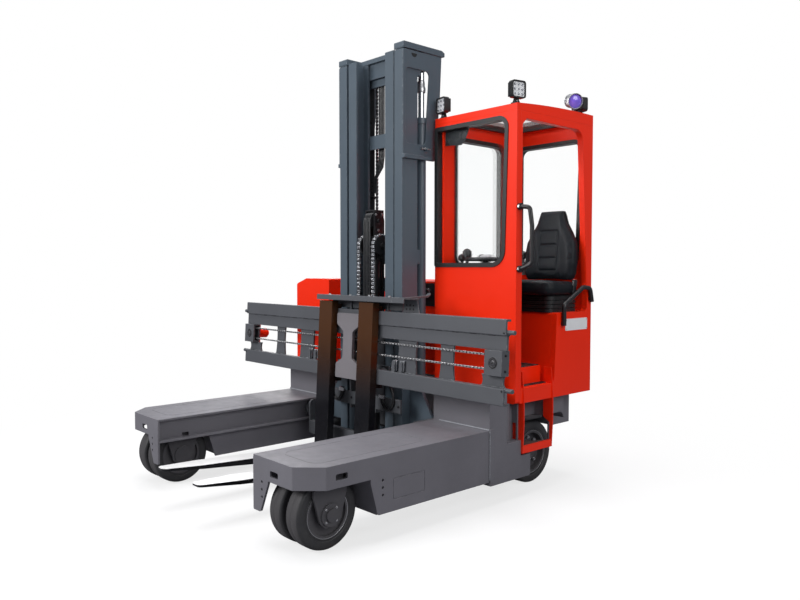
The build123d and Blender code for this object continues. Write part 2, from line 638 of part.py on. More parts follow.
def entry_step():
    x0, x1 = STEP_IN, CAB_OUT
    y0, y1 = STEP_FRONT, STEP_REAR
    low, high = STEP_Z, STEP_Z + 50
    tread = block(x0, x1, y0, y1, high - 6, high) + block(x1 - 8, x1, y0, y1, low, high)
    tread += block(x0, x1, y0, y0 + 8, low, high)
    middle = (high + DECK_TOP) / 2
    bowed = [(x0, low), (x1, low), (x1, high), (x1 - 14, middle), (x1, DECK_TOP - 8), (x1, DECK_TOP), (x0, DECK_TOP)]
    front = slab("y", bowed, y0, y0 + 8, [0, 6, 20, 160, 6, 0, 0])
    rear = slab("y", bowed, y1 - 8, y1, [0, 6, 20, 160, 6, 0, 0])
    step = fuse([tread, front, rear])
    step -= Pos(REAR_X, REAR_WHEEL_Y, REAR_R) * Sphere(WELL_R + STEP_CLEAR)
    return step - rod("z", (REAR_X, REAR_WHEEL_Y), REAR_R, WELL_TOP, CROWN_SWEEP_R)


def side_hood():
    edge = [(-ARM_OUT, TOWER_TOP), (-ARM_OUT, 1236), (-870, HOOD_TOP), (-HOOD_INNER_X, HOOD_TOP),
            (-HOOD_INNER_X, TOWER_TOP)]
    inner = [(-ARM_OUT + SHEET, TOWER_TOP - 5), (-ARM_OUT + SHEET, 1231), (-868, HOOD_TOP - SHEET),
             (-HOOD_INNER_X - SHEET, HOOD_TOP - SHEET), (-HOOD_INNER_X - SHEET, TOWER_TOP - 5)]
    shell = slab("y", edge, HOOD_FRONT, CHASSIS_REAR, [0, 20, 20, 10, 0])
    return shell - slab("y", inner, HOOD_FRONT + SHEET, CHASSIS_REAR - SHEET)


def rear_hood():
    shell = block(-HOOD_INNER_X, CAB_IN, RECESS_REAR, CHASSIS_REAR, TOWER_TOP, REAR_HOOD_TOP)
    return shell - block(-HOOD_INNER_X + SHEET, CAB_IN - SHEET, RECESS_REAR + SHEET, CHASSIS_REAR - SHEET,
                         TOWER_TOP - 5, REAR_HOOD_TOP - SHEET)


def service_panel():
    plate = slab("y", rectangle(90, CAB_IN - 8, 1100, 1254), RECESS_REAR - 8, RECESS_REAR, 8)
    return plate + rod("y", (168, 1194), RECESS_REAR - 16, RECESS_REAR - 4, 24)


def battery():
    return block(-330, 300, RECESS_REAR + WALL + 20, CHASSIS_REAR - WALL - 20, TRAY_TOP, 1190)


# Mast
def outer_mast():
    y0, y1 = MAST_FRONT, MAST_FRONT + MAST_DEPTH
    pieces = []
    for side in (1, -1):
        channel = block(OUTER_TIP_X, OUTER_WEB_X, y0, y1, MAST_BOTTOM, MAST_TOP)
        channel -= block(OUTER_TIP_X - 5, OUTER_WEB_X - OUTER_WEB, y0 + OUTER_FLANGE, y1 - OUTER_FLANGE,
                         MAST_BOTTOM - 5, MAST_TOP + 5)
        x0, x1 = OUTER_WEB_X, OUTER_WEB_X + 8
        plate = slab("x", [(y0, TOP_PLATE_Z), (235, TOP_PLATE_Z), (275, MAST_TOP - 255), (288, MAST_TOP), (y0, MAST_TOP)],
                     x0, x1, [10, 20, 0, 6, 6])
        hole_top = MAST_TOP - 109
        plate -= slab("x", [(-26, TOP_PLATE_Z + 94), (145, TOP_PLATE_Z + 94), (180, hole_top), (-26, hole_top)],
                      x0 - 5, x1 + 5, 30)
        lip = block(x0, x1 + 12, y0, 190, TOP_PLATE_Z, TOP_PLATE_Z + 24)
        gusset = slab("y", [(OUTER_WEB_X, 300), (REACH_PLATE_X - 15, 300), (REACH_PLATE_X - 15, 430),
                            (OUTER_WEB_X, 760)], 20, 40, [0, 0, 20, 0])
        pieces.append(sided(fuse([channel, plate, lip, gusset]), side))
    back = y1 + STAGE_GAP + 7
    for low, high in ((150, 280), (1380, 1470), (MAST_TOP - 144, MAST_TOP - 44)):
        pieces.append(block(-OUTER_WEB_X, OUTER_WEB_X, back, back + 15, low, high))
        for side in (1, -1):
            pieces.append(sided(block(OUTER_TIP_X, OUTER_WEB_X, y1, back, low, high), side))
    return fuse(pieces)


def mast_hoses():
    back = MAST_FRONT + MAST_DEPTH + STAGE_GAP + 22
    low, high = 440, MAST_TOP - 60
    # left edge, right edge, thickness of each strand
    strands = ((-246, -226, 8), (-212, -146, 14), (-132, -108, 12))
    return fuse([block(x0, x1, back, back + thick, low, high) for x0, x1, thick in strands])


def lift_barrels():
    out = []
    for x in (LIFT_CYL_X, -LIFT_CYL_X):
        barrel = rod("z", (x, LIFT_CYL_Y), 300, LIFT_BARREL_TOP, LIFT_CYL_R)
        barrel += rod("z", (x, LIFT_CYL_Y), LIFT_BARREL_TOP - 36, LIFT_BARREL_TOP, LIFT_CYL_R + 5)
        out.append(barrel - rod("z", (x, LIFT_CYL_Y), 320, LIFT_BARREL_TOP + 4, LIFT_ROD_R + ROD_GAP))
    return out[0] + out[1]


def inner_mast():
    y0 = MAST_FRONT + 6
    y1 = y0 + MAST_DEPTH - 12
    pieces = []
    for side in (1, -1):
        beam = block(INNER_TIP_X, INNER_OUT_X, y0, y1, 150, CAP_BOTTOM)
        for x0, x1 in ((INNER_TIP_X - 5, INNER_WEB_X), (INNER_WEB_X + INNER_WEB, INNER_OUT_X + 5)):
            beam -= block(x0, x1, y0 + INNER_FLANGE, y1 - INNER_FLANGE, 145, CAP_TOP)
        web = INNER_WEB_X + INNER_WEB
        for height in (220, 520):
            beam += rod("x", ((y0 + y1) / 2, height), web - 2, OUTER_WEB_X - OUTER_WEB - 4,
                        MAST_DEPTH / 2 - OUTER_FLANGE - ROLLER_GAP)
        cap = slab("x", [(MAST_FRONT, CAP_BOTTOM), (315, CAP_BOTTOM), (315, CAP_TOP - 12), (290, CAP_TOP),
                         (MAST_FRONT, CAP_TOP)], 236, 322, [6, 6, 6, 12, 6])
        pieces.append(sided(beam + cap, side))
    pieces.append(block(-240, 240, 60, 120, CAP_BOTTOM, CAP_TOP - 8))
    for low, high in ((CAP_BOTTOM - 101, CAP_BOTTOM), (CAP_BOTTOM - 565, CAP_BOTTOM - 475), (1200, 1290)):
        pieces.append(block(-INNER_OUT_X, INNER_OUT_X, y1, y1 + 10, low, high))
    pieces.append(block(-INNER_OUT_X, INNER_OUT_X, y1, y1 + 10, 170, 290))
    pieces.append(block(-70, 70, FREE_CYL_Y - 45, y1 + 2, 190, 230))
    return fuse(pieces)


def lift_rods():
    out = [rod("z", (x, LIFT_CYL_Y), 330, CAP_BOTTOM, LIFT_ROD_R) for x in (LIFT_CYL_X, -LIFT_CYL_X)]
    return out[0] + out[1]


def free_barrel():
    at = (0, FREE_CYL_Y)
    barrel = rod("z", at, 230, 1405, FREE_CYL_R) + rod("z", at, 1380, 1410, FREE_CYL_R + 4)
    return barrel - rod("z", at, 255, 1420, FREE_ROD_R + ROD_GAP)


SHEAVE_Z = 1500.0
SHEAVE_R = 62.0
LIFT_CHAIN_X = 72.0
HOSE_SHEAVE_Z = 1660.0
HEAD_TOP = 1731.0


def crosshead():
    at = (FREE_CYL_Y, SHEAVE_Z)
    head = rod("z", (0, FREE_CYL_Y), 310, 1480, FREE_ROD_R)
    head += block(-48, 48, FREE_CYL_Y - 30, FREE_CYL_Y + 30, 1468, 1560)
    head += rod("x", at, -100, 100, 18)
    for x in (LIFT_CHAIN_X, -LIFT_CHAIN_X):
        head += rod("x", at, x - 11, x + 11, SHEAVE_R)
    for x in (-44, 36):
        head += block(x, x + 8, FREE_CYL_Y - 36, FREE_CYL_Y + 46, 1555, HEAD_TOP)
    head += block(-44, 44, FREE_CYL_Y - 36, FREE_CYL_Y + 46, HEAD_TOP - 8, HEAD_TOP)
    head += rod("x", (FREE_CYL_Y, HOSE_SHEAVE_Z), -56, 56, 12)
    head += rod("x", (FREE_CYL_Y, HOSE_SHEAVE_Z), -30, 30, 52)
    return head


def lift_chains():
    out = []
    for x in (LIFT_CHAIN_X, -LIFT_CHAIN_X):
        y0, y1 = FREE_CYL_Y - SHEAVE_R - 16, FREE_CYL_Y + SHEAVE_R + 16
        loop = rod("x", (FREE_CYL_Y, SHEAVE_Z), x - 12, x + 12, SHEAVE_R + 16)
        loop -= block(x - 20, x + 20, y0 - 5, y1 + 5, SHEAVE_Z - 100, SHEAVE_Z)
        loop += block(x - 12, x + 12, y0, y0 + 15.5, 1052, SHEAVE_Z)
        loop += block(x - 12, x + 12, y1 - 15.5, y1, 700, SHEAVE_Z)
        out.append(loop - rod("x", (FREE_CYL_Y, SHEAVE_Z), x - 20, x + 20, SHEAVE_R + SEAT_GAP))
    return out[0] + out[1]


# Reach carriage, which rolls in the arm channels
def reach_carriage():
    pieces = []
    inside = ARM_TOP - ARM_PLATE - CHANNEL_BOTTOM
    for side in (1, -1):
        plate = [(-160, 200), (-100, 200), (-60, 296), (320, 296), (320, 436), (-140, 436), (-160, 416)]
        cheek = slab("x", plate, REACH_PLATE_X - 15, REACH_PLATE_X, [8, 8, 20, 8, 8, 20, 8])
        for y in (-95, 255):
            at = (y, CHANNEL_BOTTOM + inside / 2)
            cheek += rod("x", at, REACH_PLATE_X - 1, ARM_IN + CHANNEL_DEPTH - 8, 26)
            cheek += rod("x", at, ARM_IN + 4, ARM_IN + CHANNEL_DEPTH - 8, inside / 2 - ROLLER_GAP)
        cheek += block(OUTER_WEB_X, REACH_PLATE_X - 15, 60, 84, 300, 400)
        x = REACH_CYL_X
        cheek += block(x - 45, x + 45, -160, -125, 200, 290)
        pieces.append(sided(cheek, side))
    pieces.append(block(-REACH_PLATE_X + 15, REACH_PLATE_X - 15, -160, -125, 200, 290))
    back = MAST_FRONT + MAST_DEPTH + STAGE_GAP + 7
    pieces.append(block(-REACH_PLATE_X + 15, REACH_PLATE_X - 15, back, back + 14, 300, 420))
    for x in (LIFT_CYL_X, -LIFT_CYL_X):
        pieces.append(block(x - 40, x + 40, back, LIFT_CYL_Y + 40, 280, 300))
    return fuse(pieces)


def reach_rods():
    inner_end = REACH_NOSE + REACH_TRAVEL + REACH_HELD
    out = [rod("y", (x, REACH_CYL_Z), -125, inner_end, REACH_ROD_R) for x in (REACH_CYL_X, -REACH_CYL_X)]
    return out[0] + out[1]


# Lift block and tilting fork carriage
def lift_block():
    pieces = []
    y_mid = MAST_FRONT + MAST_DEPTH / 2
    groove = MAST_DEPTH / 2 - 6 - INNER_FLANGE
    for side in (1, -1):
        cheek = slab("x", [(-110, 430), (40, 430), (60, 460), (60, 1030), (40, 1060), (-110, 1060)], 118, 134,
                     [6, 10, 10, 10, 10, 6])
        for height in (490, 990):
            cheek += rod("x", (y_mid, height), 132, INNER_WEB_X - 4, groove - ROLLER_GAP)
        lug = slab("x", [(-100, 1012), (-100, 1064), (PIVOT_Y - 6, 1064), (PIVOT_Y - 22, 1040), (PIVOT_Y - 6, 1014)],
                   150, 170, [4, 4, 16, 16, 16])
        lug -= rod("x", (PIVOT_Y, PIVOT_Z), 140, 180, PIVOT_R + PIN_GAP)
        at = (TILT_X, TILT_Z)
        barrel = rod("y", at, -140, -60, TILT_CYL_R) - rod("y", at, -150, -70, TILT_BORE_R)
        ears = block(LIFT_CHAIN_X - 22, LIFT_CHAIN_X - 18, -100, -66, 1030, 1066)
        ears += block(LIFT_CHAIN_X + 18, LIFT_CHAIN_X + 22, -100, -66, 1030, 1066)
        pieces.append(sided(fuse([cheek, lug, barrel, ears]), side))
    # half width, low, high
    for half, low, high in ((171, 900, 1060), (260, 640, 740), (366, 455, 540)):
        plate = block(-half, half, -110, -96, low, high)
        for x in (TILT_X, -TILT_X):
            plate -= rod("y", (x, TILT_Z), -150, -90, TILT_BORE_R)
        pieces.append(plate)
    return fuse(pieces)


def c_rail(low, height):
    y0, y1 = RAIL_FRONT, RAIL_FRONT + RAIL_DEPTH
    profile = [(y0, low), (y1, low), (y1, low + RAIL_PLATE), (y0 + RAIL_PLATE, low + RAIL_PLATE),
               (y0 + RAIL_PLATE, low + height - RAIL_PLATE), (y1, low + height - RAIL_PLATE), (y1, low + height),
               (y0, low + height)]
    return slab("x", profile, -RAIL_HALF, RAIL_HALF, [5, 0, 0, 6, 6, 0, 0, 5])


def strut(x, top_w, waist_w, low, high):
    a, b = top_w / 2, waist_w / 2
    middle = (low + high) / 2
    left = ThreePointArc((x - a, high), (x - b, middle), (x - a, low))
    right = ThreePointArc((x + a, low), (x + b, middle), (x + a, high))
    face = make_face(left + Line((x - a, low), (x + a, low)) + right + Line((x + a, high), (x - a, high)))
    y = RAIL_FRONT + BACK_PLATE_REAR
    return extrude(Pos(0, y, 0) * (Plane.XZ * face), amount=RAIL_PLATE, dir=(0, 1, 0))


def carriage_frame():
    y0 = RAIL_FRONT
    pieces = [c_rail(TOP_RAIL_Z, TOP_RAIL_H), c_rail(LOW_RAIL_Z, LOW_RAIL_H)]
    pieces.append(block(-BACK_PLATE_HALF, BACK_PLATE_HALF, y0 + 14, y0 + BACK_PLATE_REAR, BACK_PLATE_Z, TOP_RAIL_Z))
    # middle, width, waist and top of each strut
    plate_lap = BACK_PLATE_Z + 40
    struts = ((509, 164, 148, plate_lap), (837, 115, 94, plate_lap), (RAIL_HALF - 99, 160, 138, HOUSING_Z))
    for x, wide, waist, top in struts:
        for side in (1, -1):
            pieces.append(strut(side * x, wide, waist, LOW_RAIL_Z + LOW_RAIL_H, top))
    for side in (1, -1):
        lug = block(177, 193, y0 + RAIL_PLATE, PIVOT_Y, TOP_RAIL_Z + 4, 1066) + rod("x", (PIVOT_Y, PIVOT_Z), 177, 193, 26)
        lug += rod("x", (PIVOT_Y, PIVOT_Z), 146, 196, PIVOT_R)
        pad = block(TILT_X - 30, TILT_X + 30, y0 + RAIL_PLATE, y0 + RAIL_DEPTH, 660, 725)
        pad += rod("y", (TILT_X, TILT_Z), y0 + RAIL_DEPTH - 2, -92, TILT_ROD_R)
        pieces.append(sided(lug + pad, side))
        for z in (1021, 720):
            pin = rod("x", (y0 + 20, z), RAIL_HALF - 20, RAIL_HALF + STOP_PIN, 12)
            pieces.append(sided(pin, side))
    for x in (449, -415):
        for step in (-44, 20):
            pieces.append(slab("y", rectangle(x + step, x + step + 26, 728, 796), y0 + 2, y0 + 16, [0, 0, 10, 10]))
    return lean(fuse(pieces))


def centre_plate():
    half, waist = 115.0, 47.0
    right = [(half, 645), (half, 735), (waist, 772), (waist, 946), (half, 990), (half, 1062)]
    left = [(-x, z) for x, z in reversed(right)]
    plate = slab("y", right + left, RAIL_FRONT - 21, RAIL_FRONT, [10, 20, 20, 20, 20, 10] * 2)
    return lean(plate)


def top_guard():
    low, top = GUARD_TOP - 12, GUARD_TOP
    tray = slab("z", rectangle(-300, 450, -262, -142), low, top, [30, 12, 8, 12])
    tray += slab("z", rectangle(-300, 450, -262, -250), top - 33, top, 5)
    wing_side = [(-150, low), (40, low + 19), (60, low + 34), (60, low + 46), (40, low + 31), (-150, top)]
    wing = slab("x", wing_side, 426, 450)
    plate = block(-262, 430, -152, -142, 1096, low)
    pieces = [tray, wing, plate]
    for x in (-250, -60, 90, 300):
        pieces.append(block(x, x + 12, RAIL_FRONT + RAIL_DEPTH, -142, TOP_RAIL_Z + TOP_RAIL_H - 30, low))
    return lean(fuse(pieces))


def positioner_housings():
    out = []
    for side in (1, -1):
        box = block(HOUSING_IN, HOUSING_OUT, HOUSING_FRONT, HOUSING_REAR, HOUSING_Z, BACK_PLATE_Z)
        box -= block(HOUSING_IN - 10, HOUSING_OUT - 10, HOUSING_FRONT + HOUSING_WALL, HOUSING_REAR - HOUSING_WALL,
                     HOUSING_Z + 10, BACK_PLATE_Z - 10)
        box -= rod("y", (SPROCKET_X, CHAIN_Z), HOUSING_FRONT - 5, HOUSING_FRONT + HOUSING_WALL + 5, 16)
        out.append(sided(box, side))
    return lean(out[0] + out[1])


def positioner_motor():
    x = 10 - SPROCKET_X
    flange = slab("y", rectangle(x - 32, x + 32, HOUSING_Z - 12, BACK_PLATE_Z), HOUSING_REAR, HOUSING_REAR + 14, 8)
    return lean(flange + rod("y", (x, CHAIN_Z), HOUSING_REAR + 14, -78, 36) + rod("y", (x, CHAIN_Z), -78, -66, 24))


def positioner_chain():
    y0, y1 = CHAIN_FRONT, CHAIN_FRONT + CHAIN_T
    loop = block(-SPROCKET_X, SPROCKET_X, y0, y1, CHAIN_Z - CHAIN_R - 5, CHAIN_Z + CHAIN_R + 5)
    loop -= block(-SPROCKET_X, SPROCKET_X, y0 - 5, y1 + 5, CHAIN_Z - CHAIN_R + 5, CHAIN_Z + CHAIN_R - 5)
    pieces = [loop]
    for side in (1, -1):
        ring = rod("y", (side * SPROCKET_X, CHAIN_Z), y0, y1, CHAIN_R + 5)
        pieces.append(ring)
        pieces.append(rod("y", (side * SPROCKET_X, CHAIN_Z), HOUSING_FRONT + HOUSING_WALL,
                          HOUSING_REAR - HOUSING_WALL, 22))
    return lean(fuse(pieces))


def fork():
    front = RAIL_FRONT - FORK_GAP - FORK_T
    back = RAIL_FRONT - FORK_GAP
    tip = front - BLADE_LENGTH
    heel = BLADE_TOP - FORK_T
    side = [(back, SHANK_TOP), (front, SHANK_TOP), (front, BLADE_TOP), (tip, BLADE_TOP), (tip, BLADE_TOP - TIP_T),
            (front - 200, heel), (back, heel)]
    body = slab("x", side, FORK_X - FORK_W / 2, FORK_X + FORK_W / 2, [4, 4, 24, 2, 4, 100, 55])
    half = FORK_W / 2
    plan = [(FORK_X - half, back + 5), (FORK_X - half, tip + 230), (FORK_X - TIP_W / 2, tip), (FORK_X + TIP_W / 2, tip),
            (FORK_X + half, tip + 230), (FORK_X + half, back + 5)]
    body = body & slab("z", plan, heel - 20, SHANK_TOP + 20, [0, 200, 30, 30, 200, 0])
    rail_top = TOP_RAIL_Z + TOP_RAIL_H
    x0, x1 = FORK_X - half + 6, FORK_X + half - 6
    hook = block(x0, x1, back - 1, -171, rail_top + FORK_GAP, rail_top + 30)
    lower = block(x0, x1, back - 1, -150, LOW_RAIL_Z - 26, LOW_RAIL_Z - FORK_GAP)
    lower += block(x0, x1, RAIL_FRONT + RAIL_DEPTH + FORK_GAP, -150, LOW_RAIL_Z - 26, LOW_RAIL_Z + 16)
    return lean(fuse([body, hook, lower]))


keep("chassis_frame", chassis_frame())
keep("battery_block", battery())
keep("side_hood", side_hood())
keep("rear_hood", rear_hood())
keep("service_panel", service_panel())
keep("cab_front_panel", cab_front())
keep("cab_rear_panel", cab_rear())
keep("cab_inner_panel", cab_inner())
keep("cab_door_side", cab_door_side())
keep("cab_roof", cab_roof())
keep("cab_floor", cab_floor())
keep("window_seals", fuse([window_seal(window) for window in WINDOWS[:3]] + [roof_seal()]))
keep("window_panes", fuse([window_pane(window) for window in WINDOWS]))
keep("seat_base", seat_base())
keep("seat_cushion", seat_cushion())
keep("seat_back", seat_back())
keep("seat_restraint_bar", restraint())
keep("grab_handle", grab_handle())
keep("control_console", console())
keep("steering_wheel", steering_wheel())
keep("roof_lamps", roof_lamps())
keep("entry_step", entry_step())
keep("reach_cylinder_barrels", reach_barrels())
for side_name, side_sign in SIDES:
    keep(side_name + "_wheel_tower", wheel_tower(side_sign))
    keep(side_name + "_outrigger", sided(outrigger(), side_sign))
    keep(side_name + "_front_fork", sided(front_fork(), side_sign))
    keep(side_name + "_front_hub", sided(front_hub(), side_sign))
    keep(side_name + "_front_tyres", sided(front_tyres(), side_sign))
    keep(side_name + "_rear_leg", sided(rear_leg(), side_sign))
    keep(side_name + "_rear_hub", sided(rear_hub(), side_sign))
    keep(side_name + "_rear_tyre", sided(tyre(REAR_X, REAR_WHEEL_Y, REAR_R, REAR_RIM_R, REAR_TYRE_W), side_sign))
    keep(side_name + "_fork", sided(fork(), side_sign))
keep("reach_carriage", reach_carriage())
keep("reach_cylinder_rods", reach_rods())
keep("outer_mast", outer_mast())
keep("mast_hoses", mast_hoses())
keep("lift_cylinder_barrels", lift_barrels())
keep("inner_mast", inner_mast())
keep("lift_cylinder_rods", lift_rods())
keep("free_lift_barrel", free_barrel())
keep("chain_crosshead", crosshead())
keep("lift_chains", lift_chains())
keep("lift_block", lift_block())
keep("carriage_frame", carriage_frame())
keep("centre_plate", centre_plate())
keep("top_guard", top_guard())
keep("positioner_housings", positioner_housings())
keep("positioner_motor", positioner_motor())
keep("positioner_chain", positioner_chain())

front_end = NODES["left_fork"].bounding_box().min.Y
MOVE_Y = -(front_end + CHASSIS_REAR) / 2
print("moved along Y by", round(MOVE_Y, 3))
for name, shape in NODES.items():
    export_step(shape.moved(Pos(0, MOVE_Y, 0)), "parts/" + name + ".step")
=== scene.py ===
import math

import bmesh
import bpy
from mathutils import Matrix, Vector


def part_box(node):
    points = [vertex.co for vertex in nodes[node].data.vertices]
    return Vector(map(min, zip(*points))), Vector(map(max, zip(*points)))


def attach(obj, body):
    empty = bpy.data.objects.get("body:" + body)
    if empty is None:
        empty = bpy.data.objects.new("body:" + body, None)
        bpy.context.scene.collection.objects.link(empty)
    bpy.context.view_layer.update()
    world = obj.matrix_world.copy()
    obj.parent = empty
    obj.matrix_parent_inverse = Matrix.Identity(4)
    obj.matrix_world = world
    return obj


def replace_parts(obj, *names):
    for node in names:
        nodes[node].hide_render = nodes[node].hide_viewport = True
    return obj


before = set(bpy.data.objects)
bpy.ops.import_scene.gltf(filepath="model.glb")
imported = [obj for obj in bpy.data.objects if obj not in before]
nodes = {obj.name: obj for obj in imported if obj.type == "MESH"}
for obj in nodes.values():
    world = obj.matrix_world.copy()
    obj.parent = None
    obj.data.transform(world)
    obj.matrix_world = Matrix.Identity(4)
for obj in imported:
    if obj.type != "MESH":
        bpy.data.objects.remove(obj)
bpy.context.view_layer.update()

# Camera, where the photographer stood: a little below the height of the cab's window sill,
# ahead of the truck's left front wheel and looking back along it.
camera_data = bpy.data.cameras.new("camera")
camera_data.lens = 33.4
camera_data.sensor_width = 36.0
camera = bpy.data.objects.new("camera", camera_data)
camera.location = (3.7175, -2.9513, 1.3585)
camera.rotation_euler = [math.radians(angle) for angle in (87.49, -0.03, 47.7)]
bpy.context.scene.collection.objects.link(camera)
bpy.context.scene.camera = camera
bpy.context.scene.view_settings.view_transform = "Standard"


# Studio: a pale seamless floor that keeps the truck's shadow and fades to white further out, a
# white surround that glass shows, and large soft lamps ahead, above and to both sides.
def feed(tree, node, feeds):
    # gives each named input its value, or links another node's output to it
    for label, value in feeds.items():
        if isinstance(value, bpy.types.NodeSocket):
            tree.links.new(value, node.inputs[label])
        else:
            node.inputs[label].default_value = value


def add(tree, kind, feeds=None, **settings):
    node = tree.nodes.new(kind)
    for setting, value in settings.items():
        setattr(node, setting, value)
    feed(tree, node, feeds or {})
    return node


def worked(tree, operation, *feeds, clamp=False):
    step = add(tree, "ShaderNodeMath", dict(enumerate(feeds)), operation=operation, use_clamp=clamp)
    return step.outputs[0]


def ramp(tree, value, start, end, low=0.0, high=1.0, way="LINEAR"):
    # runs from low to high while the value runs from start to end
    feeds = {"Value": value, "From Min": start, "From Max": end, "To Min": low, "To Max": high}
    return add(tree, "ShaderNodeMapRange", feeds, interpolation_type=way).outputs["Result"]


def new_material(name):
    material = bpy.data.materials.new(name)
    material.use_nodes = True
    return material, material.node_tree, material.node_tree.nodes["Principled BSDF"]


def background_rays(tree):
    path = add(tree, "ShaderNodeLightPath").outputs
    return worked(tree, "MAXIMUM", path["Is Camera Ray"], path["Is Transmission Ray"])


world = bpy.data.worlds.new("studio")
world.use_nodes = True
bpy.context.scene.world = world
air = world.node_tree
surround = air.nodes["Background"]
feed(air, surround, {"Color": (0.93, 0.95, 1.0, 1.0), "Strength": 0.30})
white_air = add(air, "ShaderNodeBackground", {"Color": (1.0, 1.0, 1.0, 1.0)})
shown_air = add(air, "ShaderNodeMixShader", {
    0: background_rays(air), 1: surround.outputs[0], 2: white_air.outputs[0]})
feed(air, air.nodes["World Output"], {"Surface": shown_air.outputs[0]})

floor_half, fade_start, fade_end, near_glow = 40, 1.4, 3.4, 0.72
floor_corners = [(x * floor_half, y * floor_half, 0) for x, y in ((-1, -1), (1, -1), (1, 1), (-1, 1))]
floor_mesh = bpy.data.meshes.new("studio_floor")
floor_mesh.from_pydata(floor_corners, [], [(0, 1, 2, 3)])
studio_floor = bpy.data.objects.new("studio_floor", floor_mesh)
bpy.context.scene.collection.objects.link(studio_floor)
seamless_paper, sheet, paper = new_material("seamless_paper")
feed(sheet, paper, {"Base Color": (0.86, 0.86, 0.87, 1.0), "Roughness": 0.9})
glow = add(sheet, "ShaderNodeEmission", {"Strength": 1.0})
floor_spot = add(sheet, "ShaderNodeTexCoord").outputs["Object"]
distance = add(sheet, "ShaderNodeVectorMath", {0: floor_spot}, operation="LENGTH").outputs["Value"]
fade = ramp(sheet, distance, fade_start, fade_end, near_glow, 1.0, "SMOOTHSTEP")
lift = add(sheet, "ShaderNodeMixShader", {0: fade, 1: paper.outputs[0], 2: glow.outputs[0]})
bounce = add(sheet, "ShaderNodeBsdfDiffuse", {"Color": (0.22, 0.22, 0.24, 1.0)})
shown_paper = add(sheet, "ShaderNodeMixShader", {
    0: background_rays(sheet), 1: bounce.outputs[0], 2: lift.outputs[0]})
feed(sheet, sheet.nodes["Material Output"], {0: shown_paper.outputs[0]})
floor_mesh.materials.append(seamless_paper)


def soft_lamp(name, place, aim, width, height, power):
    data = bpy.data.lights.new(name, "AREA")
    data.shape = "RECTANGLE"
    data.size = width
    data.size_y = height
    data.energy = power
    lamp = bpy.data.objects.new(name, data)
    lamp.location = place
    lamp.rotation_euler = (Vector(aim) - Vector(place)).to_track_quat("-Z", "Y").to_euler()
    bpy.context.scene.collection.objects.link(lamp)


truck_middle, truck_foot = (0.0, 0.0, 1.2), (0.0, 0.0, 0.0)
soft_lamp("lamp_front", (-1.5, -7.0, 4.0), truck_middle, 4.0, 3.0, 440.0)
soft_lamp("lamp_side", (7.0, -0.5, 4.2), truck_middle, 4.0, 3.0, 185.0)
soft_lamp("lamp_top", (0.0, 0.0, 7.0), truck_foot, 5.0, 5.0, 450.0)
soft_lamp("lamp_back", (-6.0, 4.0, 4.0), truck_middle, 3.0, 3.0, 130.0)


# Paint: every painted or moulded surface gets a fine orange-peel or grain, an uneven gloss,
# softened edges that catch the light, lighter edges that are partly wear and partly a painted
# highlight, and a dust colour low down and on top faces, which is real dust on most finishes
# and a painted shade on the frame grey.
def noise(tree, place, scale, detail=2.0, roughness=0.5):
    feeds = {"Vector": place, "Scale": scale, "Detail": detail, "Roughness": roughness}
    return add(tree, "ShaderNodeTexNoise", feeds).outputs["Fac"]


def blend(tree, share, first, second):
    feeds = {"Factor": share, "A": first, "B": second}
    return add(tree, "ShaderNodeMix", feeds, data_type="RGBA").outputs["Result"]


def split(tree, vector):
    return add(tree, "ShaderNodeSeparateXYZ", {0: vector}).outputs


